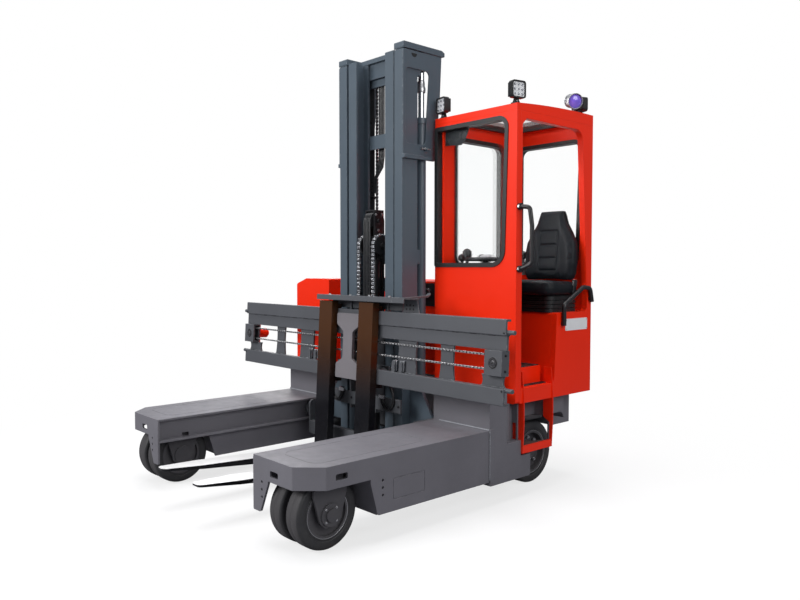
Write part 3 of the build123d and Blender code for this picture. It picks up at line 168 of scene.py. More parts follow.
def surface_group():
    tree = bpy.data.node_groups.new("worked_surface", "ShaderNodeTree")
    for label, kind, value in (
        ("Color", "NodeSocketColor", (0.5, 0.5, 0.5, 1.0)),
        ("Edge Color", "NodeSocketColor", (0.6, 0.6, 0.6, 1.0)),
        ("Dust Color", "NodeSocketColor", (0.30, 0.28, 0.26, 1.0)),
        ("Roughness", "NodeSocketFloat", 0.4),
        ("Edge Wear", "NodeSocketFloat", 0.3),
        ("Dust", "NodeSocketFloat", 0.1),
        ("Variation", "NodeSocketFloat", 0.08),
        ("Grain Size", "NodeSocketFloat", 500.0),
        ("Grain Depth", "NodeSocketFloat", 0.03),
        ("Edge Radius", "NodeSocketFloat", 0.002),
    ):
        tree.interface.new_socket(label, in_out="INPUT", socket_type=kind).default_value = value
    for label, kind in (("Color", "Color"), ("Roughness", "Float"), ("Normal", "Vector")):
        tree.interface.new_socket(label, in_out="OUTPUT", socket_type="NodeSocket" + kind)
    given = add(tree, "NodeGroupInput").outputs
    place = add(tree, "ShaderNodeTexCoord").outputs["Object"]
    normal = add(tree, "ShaderNodeNewGeometry").outputs["Normal"]

    patches = noise(tree, place, 2.6, 6.0)
    darkest = worked(tree, "SUBTRACT", 1.0, given["Variation"])
    lightest = worked(tree, "ADD", 1.0, given["Variation"])
    tone = ramp(tree, patches, 0.3, 0.7, darkest, lightest)
    toned = add(tree, "ShaderNodeVectorMath", {0: given["Color"], "Scale": tone}, operation="SCALE")

    rounded_edge = add(tree, "ShaderNodeBevel", {"Radius": given["Edge Radius"]}, samples=4).outputs["Normal"]
    turn = add(tree, "ShaderNodeVectorMath", {0: rounded_edge, 1: normal}, operation="DOT_PRODUCT")
    # edge mask: edges take the edge colour; a strong amount makes this a painted highlight along the edges, a
    # weak one is wear
    edge = ramp(tree, turn.outputs["Value"], 0.995, 0.90)
    edge_breakup = ramp(tree, noise(tree, place, 38.0, 5.0), 0.48, 0.66)
    edge_mark_share = worked(tree, "MULTIPLY", worked(tree, "MULTIPLY", edge, edge_breakup), given["Edge Wear"])
    edge_marked_color = blend(tree, edge_mark_share, toned.outputs["Vector"], given["Edge Color"])

    # darker or lighter towards the bottom and on top faces, in the dust colour: real dust where that colour
    # is light, painted shade where it is dark, as on the frame grey
    low = ramp(tree, split(tree, place)["Z"], 0.55, 0.02)
    flat = ramp(tree, split(tree, normal)["Z"], 0.6, 1.0, 0.0, 0.5)
    speckle = noise(tree, place, 14.0, 9.0, 0.65)
    dust_and_shade_spread = worked(tree, "MULTIPLY", worked(tree, "ADD", low, flat), speckle)
    dust = worked(tree, "MULTIPLY", dust_and_shade_spread, given["Dust"], clamp=True)

    sheen = worked(tree, "ADD", given["Roughness"], ramp(tree, speckle, 0.0, 1.0, -0.06, 0.08))
    peel = noise(tree, place, given["Grain Size"])
    bump = add(tree, "ShaderNodeBump", {
        "Distance": 0.001, "Strength": given["Grain Depth"], "Height": peel, "Normal": rounded_edge})
    add(tree, "NodeGroupOutput", {
        "Color": blend(tree, dust, edge_marked_color, given["Dust Color"]),
        "Roughness": worked(tree, "ADD", sheen, dust, clamp=True), "Normal": bump.outputs["Normal"]})
    return tree


worked_surface = surface_group()


def surface(name, color, roughness, metallic=0.0, coat=0.0, specular=0.5, **values):
    material, tree, shader = new_material(name)
    group = add(tree, "ShaderNodeGroup", node_tree=worked_surface, name="worked_surface")
    values.update(color=color, roughness=roughness)
    for label, value in values.items():
        socket = group.inputs[label.replace("_", " ").title()]
        socket.default_value = (*value, 1.0) if isinstance(value, tuple) else value
    feed(tree, shader, {
        "Base Color": group.outputs["Color"], "Roughness": group.outputs["Roughness"],
        "Normal": group.outputs["Normal"], "Metallic": metallic, "Coat Weight": coat,
        "Coat Roughness": 0.12, "Specular IOR Level": specular})
    material.diffuse_color = (*color, 1.0)
    return material


def finish_nodes(material, *names):
    for name in names:
        nodes[name].data.materials.clear()
        nodes[name].data.materials.append(material)


# Cab and hoods: folded steel sheet in a bright orange-red lacquer, glossy and almost new.
red_lacquer = surface("red_lacquer", (0.94, 0.026, 0.003), 0.34, coat=0.06, specular=0.22, grain_depth=0.02,
                      variation=0.03, edge_wear=0.06, edge_color=(0.95, 0.20, 0.10), dust=0.05,
                      edge_radius=0.004)
finish_nodes(red_lacquer, "side_hood", "rear_hood", "cab_front_panel", "cab_rear_panel", "cab_inner_panel",
             "cab_door_side", "cab_roof", "cab_floor", "entry_step", "positioner_motor")

# Chassis and arms: heavy welded plate in a satin grey with a violet tinge.
# Its dark dust colour is painted shade, darkening the plate towards the bottom, and a little on its top
# faces.
frame_grey = surface("frame_grey", (0.150, 0.146, 0.164), 0.40, grain_depth=0.05, grain_size=260.0,
                     variation=0.10, edge_wear=0.5, edge_color=(0.34, 0.33, 0.35), dust=0.30,
                     dust_color=(0.055, 0.054, 0.066), edge_radius=0.004)
finish_nodes(frame_grey, "chassis_frame", "left_wheel_tower", "right_wheel_tower", "left_outrigger",
             "right_outrigger")

# Mast: rolled channels in a satin slate blue-grey, with its lift cylinders in the same paint.
# Its edge lightening is a painted highlight along the channels' edges.
mast_grey = surface("mast_grey", (0.074, 0.099, 0.124), 0.36, grain_depth=0.04, grain_size=300.0,
                    variation=0.06, edge_wear=0.6, edge_color=(0.30, 0.33, 0.37), dust=0.05,
                    edge_radius=0.004)
finish_nodes(mast_grey, "outer_mast", "inner_mast", "lift_cylinder_barrels")

# Fork carriage and reach carriage: wide rails and plates in a darker satin grey.
# Its strong edge lightening is a painted highlight along the rails' edges.
rail_grey = surface("rail_grey", (0.078, 0.082, 0.092), 0.40, grain_depth=0.04, grain_size=300.0,
                    variation=0.08, edge_wear=0.8, edge_color=(0.40, 0.41, 0.44), dust=0.06,
                    edge_radius=0.005)
finish_nodes(rail_grey, "carriage_frame", "top_guard", "positioner_housings", "lift_block", "reach_carriage")

# Centre plate: the same satin paint in a lighter mauve-grey.
# Its lighter edges are a painted highlight.
mauve_grey = surface("mauve_grey", (0.185, 0.172, 0.185), 0.36, grain_depth=0.03, variation=0.06,
                     edge_wear=0.6, edge_color=(0.40, 0.42, 0.45), dust=0.03, edge_radius=0.004)
finish_nodes(mauve_grey, "centre_plate")

# Black parts: cylinders, handles, the crosshead and the service panel in satin black paint.
satin_black = surface("satin_black", (0.012, 0.012, 0.014), 0.34, grain_depth=0.03, variation=0.10,
                      edge_wear=0.3, edge_color=(0.15, 0.15, 0.16), dust=0.05)
finish_nodes(satin_black, "service_panel", "reach_cylinder_barrels", "free_lift_barrel",
             "chain_crosshead", "grab_handle", "seat_restraint_bar", "battery_block")

# Cylinder rods: ground and hard-chromed steel.
hard_chrome = surface("hard_chrome", (0.72, 0.73, 0.75), 0.10, metallic=1.0, grain_depth=0.01,
                      variation=0.02, edge_wear=0.0, dust=0.02)
finish_nodes(hard_chrome, "reach_cylinder_rods", "lift_cylinder_rods")

# Screws, nuts and fittings: zinc-plated and bare steel.
bare_steel = surface("bare_steel", (0.56, 0.56, 0.57), 0.28, metallic=1.0, grain_depth=0.03,
                     variation=0.06, edge_wear=0.0, dust=0.06)

# Hubs and wheel forks: castings and plate in a dark satin grey.
hub_grey = surface("hub_grey", (0.050, 0.049, 0.056), 0.38, grain_depth=0.06, grain_size=220.0,
                   variation=0.10, edge_wear=0.35, edge_color=(0.22, 0.22, 0.23), dust=0.18)
for side in ("left", "right"):
    finish_nodes(hub_grey, side + "_front_hub", side + "_front_fork", side + "_rear_hub", side + "_rear_leg")

# Forks: forged steel. The shank wears a glossy brown-black paint, shaded from black low down to
# brown at its top, partly the paint's tint and partly a painted reflection; pallets have rubbed the
# blade bare, with fine scratches along it.
fork_steel = surface("fork_steel", (0.006, 0.006, 0.008), 0.22, specular=0.4, grain_depth=0.03,
                     edge_wear=0.25, edge_color=(0.30, 0.28, 0.26), dust=0.02, edge_radius=0.003)
blade_start, blade_bare, reflection_low, reflection_high = -0.10, -0.26, 0.50, 1.00
forged = fork_steel.node_tree
fork_paint = forged.nodes["worked_surface"].outputs
on_fork = add(forged, "ShaderNodeTexCoord").outputs["Object"]
fork_face = split(forged, add(forged, "ShaderNodeNewGeometry").outputs["Normal"])
drag = add(forged, "ShaderNodeMapping", {"Vector": on_fork, "Scale": (160.0, 3.0, 160.0)}).outputs["Vector"]
steel_tone = ramp(forged, noise(forged, drag, 1.0, 4.0), 0.0, 1.0, 0.72, 0.94)
blade = ramp(forged, split(forged, on_fork)["Y"], blade_start, blade_bare, way="SMOOTHSTEP")
bare_top = worked(forged, "MULTIPLY", blade, ramp(forged, fork_face["Z"], 0.3, 0.7))
# the shank runs from black low down to brown at its top: a painted reflection over the brown-black paint
reflection_share = ramp(forged, split(forged, on_fork)["Z"], reflection_low, reflection_high, way="SMOOTHSTEP")
shank_paint_and_reflection = blend(forged, reflection_share, fork_paint["Color"], (0.062, 0.022, 0.006, 1.0))
feed(forged, forged.nodes["Principled BSDF"], {
    "Base Color": blend(forged, bare_top, shank_paint_and_reflection, steel_tone),
    "Metallic": worked(forged, "MULTIPLY", bare_top, 0.35),
    "Roughness": worked(forged, "MULTIPLY_ADD", bare_top, 0.14, fork_paint["Roughness"])})
finish_nodes(fork_steel, "left_fork", "right_fork")

# Rubber seals, moulded black trim, and the chains' steel.
seal_rubber = surface("seal_rubber", (0.012, 0.013, 0.014), 0.42, grain_depth=0.05, dust=0.05)
moulded_black = surface("moulded_black", (0.016, 0.017, 0.019), 0.50, grain_depth=0.25, grain_size=700.0,
                        dust=0.05)
chain_steel = surface("chain_steel", (0.42, 0.40, 0.38), 0.30, metallic=0.9, grain_depth=0.05, dust=0.1)
finish_nodes(seal_rubber, "window_seals", "seat_base", "mast_hoses")
finish_nodes(moulded_black, "control_console", "steering_wheel", "roof_lamps", "seat_cushion", "seat_back")
finish_nodes(chain_steel, "lift_chains", "positioner_chain")

# Window panes: clear flat safety glass, so thin to look through that nothing behind it shifts.
safety_glass, glass_tree, glass = new_material("safety_glass")
smears = noise(glass_tree, add(glass_tree, "ShaderNodeTexCoord").outputs["Object"], 3.0)
feed(glass_tree, glass, {
    "Base Color": blend(glass_tree, smears, (0.97, 0.99, 0.99, 1.0), (0.90, 0.94, 0.94, 1.0)),
    "Roughness": 0.0, "Transmission Weight": 1.0, "IOR": 1.04, "Alpha": 0.25, "Coat Weight": 0.3,
    "Coat Roughness": 0.02})
finish_nodes(safety_glass, "window_panes")


# Tyres: solid rubber bands pressed on the hubs, each with a moulded tread with a parting line
# round its middle, soft shoulders, and a raised ring in the side wall.
front_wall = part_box("left_wheel_tower")[0][1]
tread_rubber = surface("tread_rubber", (0.040, 0.038, 0.041), 0.60, grain_depth=0.30, grain_size=120.0,
                       variation=0.22, edge_wear=0.2, edge_color=(0.10, 0.095, 0.09), dust=0.40,
                       dust_color=(0.12, 0.115, 0.115))
wall_rubber = surface("wall_rubber", (0.016, 0.017, 0.020), 0.44, grain_depth=0.10, grain_size=180.0,
                      variation=0.12, edge_wear=0.3, edge_color=(0.08, 0.08, 0.08), dust=0.16)


def spot(across, along, height):
    # a point on the truck, with its distance along the truck measured from the towers' front wall
    return Vector((across, front_wall + along, height))


def at(across, along, height):
    return Matrix.Translation(spot(across, along, height))


def move_by(x, y, z):
    return Matrix.Translation((x, y, z))


def turn_by(axis, degrees):
    return Matrix.Rotation(math.radians(degrees), 4, axis)


def shown(name, mesh, body, smooth_angle):
    # makes the mesh a piece of the truck, smooth but for edges sharper than the angle
    mesh.name = name
    mesh.shade_smooth()
    mesh.set_sharp_from_angle(angle=math.radians(smooth_angle))
    piece = bpy.data.objects.new(name, mesh)
    bpy.context.scene.collection.objects.link(piece)
    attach(piece, body)
    return piece


def finished(name, shape, materials, body, merge=0.00002, smooth_angle=35.0):
    bmesh.ops.remove_doubles(shape, verts=shape.verts, dist=merge)
    bmesh.ops.recalc_face_normals(shape, faces=shape.faces)
    mesh = bpy.data.meshes.new(name)
    shape.to_mesh(mesh)
    shape.free()
    for material in materials:
        mesh.materials.append(material)
    return shown(name, mesh, body, smooth_angle)


def turned(shape, profile, place, steps, closed=False, bands=()):
    # profile: distance along the axis and radius; the axis is the place's own X
    rings = []
    for number in range(steps):
        angle = 2 * math.pi * number / steps
        across, up = math.cos(angle), math.sin(angle)
        rings.append([shape.verts.new(place @ Vector((along, radius * across, radius * up)))
                      for along, radius in profile])
    spans = len(profile) if closed else len(profile) - 1
    for number in range(steps):
        here, after = rings[number], rings[(number + 1) % steps]
        for span in range(spans):
            ahead = (span + 1) % len(profile)
            corners = [here[span], here[ahead], after[ahead], after[span]]
            face = shape.faces.new(corners)
            face.material_index = bands[span] if bands else 0


# radius, rim, width, distance of the twin tyres' middles from the wheel's middle
tyre_sizes = {"front": (0.180, 0.122, 0.100, (-0.070, 0.070)), "rear": (0.197, 0.135, 0.140, (0.0,))}
# across and along the truck
wheel_places = {"front": (0.770, -1.057), "rear": (0.773, 0.580)}
# distance that the rim's edge lies inside the tyre's outer wall
rim_set_in = {"front": 0.0, "rear": 0.004}
tyre_steps, rim_steps = 96, 72
for side, sign in (("left", 1), ("right", -1)):
    for end, (radius, rim, width, middles) in tyre_sizes.items():
        tyres = bmesh.new()
        half = width / 2
        wall = [(-half, rim), (-half, rim + 0.005), (-half + 0.003, rim + 0.008),
                (-half + 0.003, rim + 0.013), (-half, rim + 0.016), (-half, radius - 0.017),
                (-half + 0.003, radius - 0.009)]
        tread = [(-half + 0.009, radius - 0.0035), (-half + 0.018, radius - 0.0006), (-half + 0.030, radius),
                 (-0.0014, radius), (0.0, radius - 0.0011)]
        half_profile = wall + tread
        profile = half_profile + [(-along, distance) for along, distance in reversed(half_profile[:-1])]
        last_tread = len(profile) - len(wall) - 2
        bands = [0 if len(wall) <= span <= last_tread else 1 for span in range(len(profile))]
        across, along = wheel_places[end]
        for middle in middles:
            turned(tyres, profile, at(sign * (across + middle), along, radius), tyre_steps, True, bands)
        name = side + "_" + end + ("_tyres" if end == "front" else "_tyre")
        wheel = side + "_" + end + "_wheel"
        piece = finished(name + "_rubber", tyres, [tread_rubber, wall_rubber], wheel,
                         smooth_angle=40.0)
        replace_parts(piece, name)
        edges = bmesh.new()
        edge_ring = [(-0.0015, rim - 0.0035), (0.0010, rim - 0.0030), (0.0015, rim - 0.0005),
                     (-0.0015, rim - 0.0005)]
        rim_face = at(sign * (across + middles[-1] + half - rim_set_in[end]), along, radius)
        turned(edges, [(out * sign, distance) for out, distance in edge_ring], rim_face, rim_steps, True)
        finished(side + "_" + end + "_rim_edge", edges, [bare_steel], wheel)


# Screws: zinc-plated hexagon heads on washers, set out by one tree that puts a head and its
# washer on each point and turns it to face the way the point says.
def new_tree(name, takes, gives):
    # takes: the label and kind of each input; gives back the tree and what it is given
    tree = bpy.data.node_groups.new(name, "GeometryNodeTree")
    for label, kind in takes.items():
        tree.interface.new_socket(label, in_out="INPUT", socket_type="NodeSocket" + kind)
    tree.interface.new_socket(gives, in_out="OUTPUT", socket_type="NodeSocketGeometry")
    return tree, add(tree, "NodeGroupInput").outputs


def joined(tree, *meshes):
    join = add(tree, "GeometryNodeJoinGeometry")
    for mesh in meshes:
        tree.links.new(mesh, join.inputs[0])
    return join.outputs[0]


def carried(tree, label):
    # the direction that each point carries under this label
    feeds = {"Name": label}
    return add(tree, "GeometryNodeInputNamedAttribute", feeds, data_type="FLOAT_VECTOR").outputs["Attribute"]


def cylinder(tree, sides, radius, height):
    feeds = {"Vertices": sides, "Radius": radius, "Depth": height}
    return add(tree, "GeometryNodeMeshCylinder", feeds).outputs["Mesh"]


def painted(tree, mesh, material):
    return add(tree, "GeometryNodeSetMaterial", {"Geometry": mesh, "Material": material}).outputs["Geometry"]


def set_out(tree, **feeds):
    # one copy on each point, made real
    feeds = {label.title(): value for label, value in feeds.items()}
    copies = add(tree, "GeometryNodeInstanceOnPoints", feeds).outputs["Instances"]
    return add(tree, "GeometryNodeRealizeInstances", {"Geometry": copies}).outputs["Geometry"]


screw_tree, asked = new_tree("screws", {
    "Points": "Geometry", "Head Radius": "Float", "Head Height": "Float", "Washer Radius": "Float",
    "Washer Height": "Float", "Material": "Material"}, "Screws")
head = cylinder(screw_tree, 6, asked["Head Radius"], asked["Head Height"])
washer = cylinder(screw_tree, 16, asked["Washer Radius"], asked["Washer Height"])
head_middle = worked(screw_tree, "MULTIPLY_ADD", asked["Head Height"], 0.5, asked["Washer Height"])
head_up = add(screw_tree, "ShaderNodeCombineXYZ", {"Z": head_middle}).outputs[0]
raised = add(screw_tree, "GeometryNodeTransform", {"Geometry": head, "Translation": head_up})
upright = add(screw_tree, "FunctionNodeAlignRotationToVector", {
    "Vector": carried(screw_tree, "facing")}, axis="Z")
screw = joined(screw_tree, washer, raised.outputs["Geometry"])
heads = set_out(screw_tree, points=asked["Points"], instance=screw, rotation=upright.outputs["Rotation"])
add(screw_tree, "NodeGroupOutput", {0: painted(screw_tree, heads, asked["Material"])})


def grown(name, start_mesh, tree, values, body, place=None, smooth_angle=35.0):
    start = bpy.data.objects.new(name + "_start", start_mesh)
    bpy.context.scene.collection.objects.link(start)
    modifier = start.modifiers.new("grow", "NODES")
    modifier.node_group = tree
    for item in tree.interface.items_tree:
        if item.in_out == "INPUT" and item.name in values:
            modifier[item.identifier] = values[item.name]
    bpy.context.view_layer.update()
    mesh = bpy.data.meshes.new_from_object(start.evaluated_get(bpy.context.evaluated_depsgraph_get()))
    bpy.data.objects.remove(start)
    if place is not None:
        mesh.transform(place)
    return shown(name, mesh, body, smooth_angle)


def point_mesh(name, places, **carries):
    # loose points, each with the directions it carries
    mesh = bpy.data.meshes.new(name)
    mesh.from_pydata(places, [], [])
    for label, ways in carries.items():
        carried_ways = mesh.attributes.new(label, "FLOAT_VECTOR", "POINT")
        for number, way in enumerate(ways):
            carried_ways.data[number].vector = way
    return mesh


def screws(name, places, body, head_radius=0.007, material=None):
    # places: point on the surface and the way the head faces
    ways = [way for place, way in places]
    spots = point_mesh(name + "_spots", [place for place, way in places], facing=ways)
    return grown(name, spots, screw_tree, {
        "Head Radius": head_radius, "Head Height": head_radius * 0.7, "Washer Radius": head_radius * 1.35,
        "Washer Height": head_radius * 0.3, "Material": material or bare_steel,
    }, body)


def screw_ring(middle, radius, count, start, sign):
    # places on a circle in the truck's lengthwise plane, from a start angle in degrees
    places = []
    for number in range(count):
        angle = math.radians(start + 360 * number / count)
        around = Vector((0, radius * math.cos(angle), radius * math.sin(angle)))
        places.append((middle + around, (sign, 0, 0)))
    return places


flange_out, flange_ring, nut_out, nut_ring = 0.150, 0.044, 0.038, 0.088
for side, sign in (("left", 1), ("right", -1)):
    across, along = wheel_places["front"]
    axle = spot(sign * (across + flange_out), along, tyre_sizes["front"][0])
    screws(side + "_axle_flange_screws", screw_ring(axle, flange_ring, 4, 45, sign),
           side + "_front_steer", 0.0045)
    across, along = wheel_places["rear"]
    axle = spot(sign * (across + nut_out), along, tyre_sizes["rear"][0])
    screws(side + "_rear_wheel_nuts", screw_ring(axle, nut_ring, 8, 0, sign), side + "_rear_wheel", 0.008)


# Seat: black leathercloth over moulded foam, in two pieces on a bellows. The backrest tapers to
# a flat head and has side bolsters and a sewn middle panel with cross channels.
leathercloth = surface("leathercloth", (0.006, 0.008, 0.011), 0.46, specular=0.22, grain_depth=0.35,
                       grain_size=900.0, variation=0.10, edge_wear=0.1, edge_color=(0.06, 0.06, 0.07),
                       dust=0.06, edge_radius=0.002)


def puffed(name, mould, most):
    # blows the foam up a little against its cover and gives back the swollen mesh
    start = bpy.data.objects.new(name + "_mould", mould)
    bpy.context.scene.collection.objects.link(start)
    foam = start.modifiers.new("foam", "REMESH")
    foam.mode = "VOXEL"
    foam.voxel_size = 0.006
    bpy.context.view_layer.update()
    mesh = bpy.data.meshes.new_from_object(start.evaluated_get(bpy.context.evaluated_depsgraph_get()))
    bpy.data.objects.remove(start)
    rest = [corner.co.copy() for corner in mesh.vertices]
    cover = bpy.data.objects.new(name + "_cover", mesh)
    bpy.context.scene.collection.objects.link(cover)
    cloth = cover.modifiers.new("cover", "CLOTH")
    cloth.settings.use_pressure = True
    cloth.settings.uniform_pressure_force = 4.0
    cloth.settings.effector_weights.gravity = 0.0
    for number in range(1, 21):
        bpy.context.scene.frame_set(number)
    swollen = bpy.data.meshes.new_from_object(cover.evaluated_get(bpy.context.evaluated_depsgraph_get()))
    bpy.context.scene.frame_set(1)
    bpy.data.objects.remove(cover)
    for corner, place in zip(swollen.vertices, rest):
        shift = corner.co - place
        if shift.length > most:
            corner.co = place + shift.normalized() * most
    return swollen


def groove(distance, width, depth):
    # how far a sewn line pulls the cover in at this distance from it
    share = min(abs(distance) / width, 1.0)
    return depth * (1.0 - share * share * (3.0 - 2.0 * share))


def padded_piece(name, mesh, node, level=1):
    mesh.materials.clear()
    mesh.materials.append(leathercloth)
    piece = bpy.data.objects.new(name, mesh)
    bpy.context.scene.collection.objects.link(piece)
    finer = piece.modifiers.new("finer", "SUBSURF")
    finer.levels = level
    finer.render_levels = level
    mesh.shade_smooth()
    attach(piece, "chassis")
    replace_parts(piece, node)
    return piece


def oval(steps, squareness_across, squareness_along):
    # points round an oval of half width 1, which is squarer the smaller its two powers are
    points = []
    for number in range(steps):
        angle = 2 * math.pi * number / steps
        points.append((math.copysign(abs(math.cos(angle)) ** squareness_across, math.cos(angle)),
                       math.copysign(abs(math.sin(angle)) ** squareness_along, math.sin(angle))))
    return points


def stacked(name, rings):
    # a closed mould over a stack of rings of points
    mould = bmesh.new()
    rows = [[mould.verts.new(place) for place in ring] for ring in rings]
    for here, above in zip(rows, rows[1:]):
        for number in range(len(here)):
            after = (number + 1) % len(here)
            mould.faces.new((here[number], here[after], above[after], above[number]))
    mould.faces.new(reversed(rows[0]))
    mould.faces.new(rows[-1])
    bmesh.ops.recalc_face_normals(mould, faces=mould.faces)
    mesh = bpy.data.meshes.new(name)
    mould.to_mesh(mesh)
    mould.free()
    return mesh


back_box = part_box("seat_back")
back_front, back_foot = back_box[0][1], back_box[0][2]
seat_middle = (back_box[0][0] + back_box[1][0]) / 2
bolster_depth, bolster_start, bolster_top, bolster_fade = 0.016, 0.55, 0.34, 0.12
# height, half width, front and back of the pad, all from the seat back's lower edge
back_sections = (
    (0.008, 0.178, 0.004, 0.072), (0.040, 0.196, 0.000, 0.078), (0.110, 0.204, 0.000, 0.084),
    (0.190, 0.202, 0.006, 0.088), (0.255, 0.192, 0.012, 0.092), (0.315, 0.160, 0.018, 0.095),
    (0.375, 0.122, 0.024, 0.097), (0.430, 0.102, 0.030, 0.098), (0.462, 0.088, 0.038, 0.092),
)
rings = []
for height, half, near, far in back_sections:
    fading = min(1.0, (bolster_top - height) / bolster_fade)
    ring = []
    for across, along in oval(28, 0.45, 0.55):
        beside = max(0.0, abs(across) - bolster_start) / (1.0 - bolster_start)
        bolster = max(0.0, bolster_depth * max(0.0, -along) * beside * fading)
        ring.append((seat_middle + across * half,
                     back_front + (near + far) / 2 + along * (far - near) / 2 - bolster, back_foot + height))
    rings.append(ring)
back_mesh = puffed("seat_backrest", stacked("seat_back_mould", rings), 0.007)
panel_half, panel_low, panel_high, panel_edge, panel_lines = 0.070, 0.070, 0.325, 0.02, (0.150, 0.235)
seam_width, seam_depth, front_reach = 0.010, 0.007, 0.050
welt_back, welt_width, welt_depth = 0.058, 0.006, 0.003
for corner in back_mesh.vertices:
    x, y, z = corner.co.x - seat_middle, corner.co.y - back_front, corner.co.z - back_foot
    near_panel = abs(x) < panel_half + panel_edge and panel_low - panel_edge < z < panel_high + panel_edge
    if y < front_reach and near_panel:
        sewn = groove(abs(x) - panel_half, seam_width, seam_depth) if panel_low < z < panel_high else 0.0
        if abs(x) < panel_half:
            for line in (panel_low, *panel_lines, panel_high):
                sewn = max(sewn, groove(z - line, seam_width, seam_depth))
        corner.co.y += sewn
    corner.co.x -= math.copysign(groove(corner.co.y - back_front - welt_back, welt_width, welt_depth), x)
padded_piece("seat_backrest", back_mesh, "seat_back")

cushion_low, cushion_high = (Vector(corner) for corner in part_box("seat_cushion"))
cushion_size, cushion_middle = cushion_high - cushion_low, (cushion_low + cushion_high) / 2
cushion_foot, cushion_crown, cushion_front_rise = 0.004, 0.020, 0.016
rings = []
# share of the cushion's height, how far the side draws in
for share, inset in ((0.04, 0.016), (0.20, 0.006), (0.50, 0.004), (0.78, 0.008), (0.92, 0.022)):
    ring = []
    for across, along in oval(40, 0.40, 0.40):
        front_rise = cushion_front_rise * max(0.0, -along) if share > 0.5 else 0.0
        rise = (cushion_size.z - cushion_crown) * share + front_rise
        ring.append((cushion_middle.x + across * (cushion_size.x / 2 - inset),
                     cushion_middle.y + along * (cushion_size.y / 2 - inset),
                     cushion_low.z + cushion_foot + rise))
    rings.append(ring)
cushion_mesh = puffed("seat_squab", stacked("seat_cushion_mould", rings), 0.006)
sewn_side, sewn_front, sewn_middle, sewn_start = 0.120, 0.060, 0.190, 0.05
sewn_width, sewn_depth = 0.011, 0.006
cushion_top, rear_edge, middle_depth = 0.06, 0.03, 0.005
for corner in cushion_mesh.vertices:
    x, y, z = corner.co.x - seat_middle, corner.co.y - cushion_low.y, corner.co.z - cushion_low.z
    if z > cushion_top:
        sewn = groove(y - sewn_front, sewn_width, sewn_depth)
        if sewn_start < y < cushion_size.y - rear_edge:
            sewn = max(sewn, groove(abs(x) - sewn_side, sewn_width, sewn_depth))
        if abs(x) < sewn_side:
            sewn = max(sewn, groove(y - sewn_middle, sewn_width, middle_depth))
        corner.co.z -= sewn
    corner.co.z = max(corner.co.z, cushion_low.z)
padded_piece("seat_squab", cushion_mesh, "seat_cushion")


# Roof lamps: three square work lamps in black cast housings with cooling fins, each on a cast
# foot with a pinch screw, and a round finned spot with a violet lens at the rear corner.
lamp_black = surface("lamp_black", (0.010, 0.010, 0.012), 0.32, grain_depth=0.08, edge_wear=0.1, dust=0.04)
lamp_lens = surface("lamp_lens", (0.86, 0.87, 0.89), 0.10, coat=0.6, grain_size=180.0, grain_depth=0.06,
                    dust=0.02, variation=0.03)
led_cup = surface("led_cup", (0.62, 0.64, 0.68), 0.18, metallic=0.8, dust=0.0)
violet_lens = surface("violet_lens", (0.22, 0.14, 0.78), 0.08, coat=0.8, grain_size=90.0, grain_depth=0.10,
                      variation=0.35, dust=0.0)
barrel_grey = surface("barrel_grey", (0.40, 0.41, 0.43), 0.30, metallic=0.6, edge_wear=0.2, dust=0.02)


def rounded(width, height, radius, steps=5):
    corners = []
    for number, (across, up) in enumerate(((1, 1), (-1, 1), (-1, -1), (1, -1))):
        middle = Vector((across * (width / 2 - radius), up * (height / 2 - radius)))
        for step in range(steps + 1):
            angle = math.pi / 2 * (number + step / steps)
            corners.append((middle.x + radius * math.cos(angle), middle.y + radius * math.sin(angle)))
    return corners


def plate(shape, corners, low, high, place, material=0, hole=None):
    # a flat outline in the place's XY plane, from low to high along its Z; a hole has as many corners
    def layers(outline):
        return [[shape.verts.new(place @ Vector((x, y, height))) for x, y in outline]
                for height in (low, high)]

    bottom, top = layers(corners)
    faces = []
    if hole is None:
        faces += [list(reversed(bottom)), top]
    else:
        inner_bottom, inner_top = layers(hole)
        for number in range(len(corners)):
            after = (number + 1) % len(corners)
            faces += [(bottom[after], bottom[number], inner_bottom[number], inner_bottom[after]),
                      (top[number], top[after], inner_top[after], inner_top[number]),
                      (inner_bottom[number], inner_top[number], inner_top[after], inner_bottom[after])]
    for number in range(len(corners)):
        after = (number + 1) % len(corners)
        faces.append((bottom[number], bottom[after], top[after], top[number]))
    for face in faces:
        shape.faces.new(face).material_index = material


roof_height, fin_count, glass_height, rim_width = 2.300, 7, 0.021, 0.016
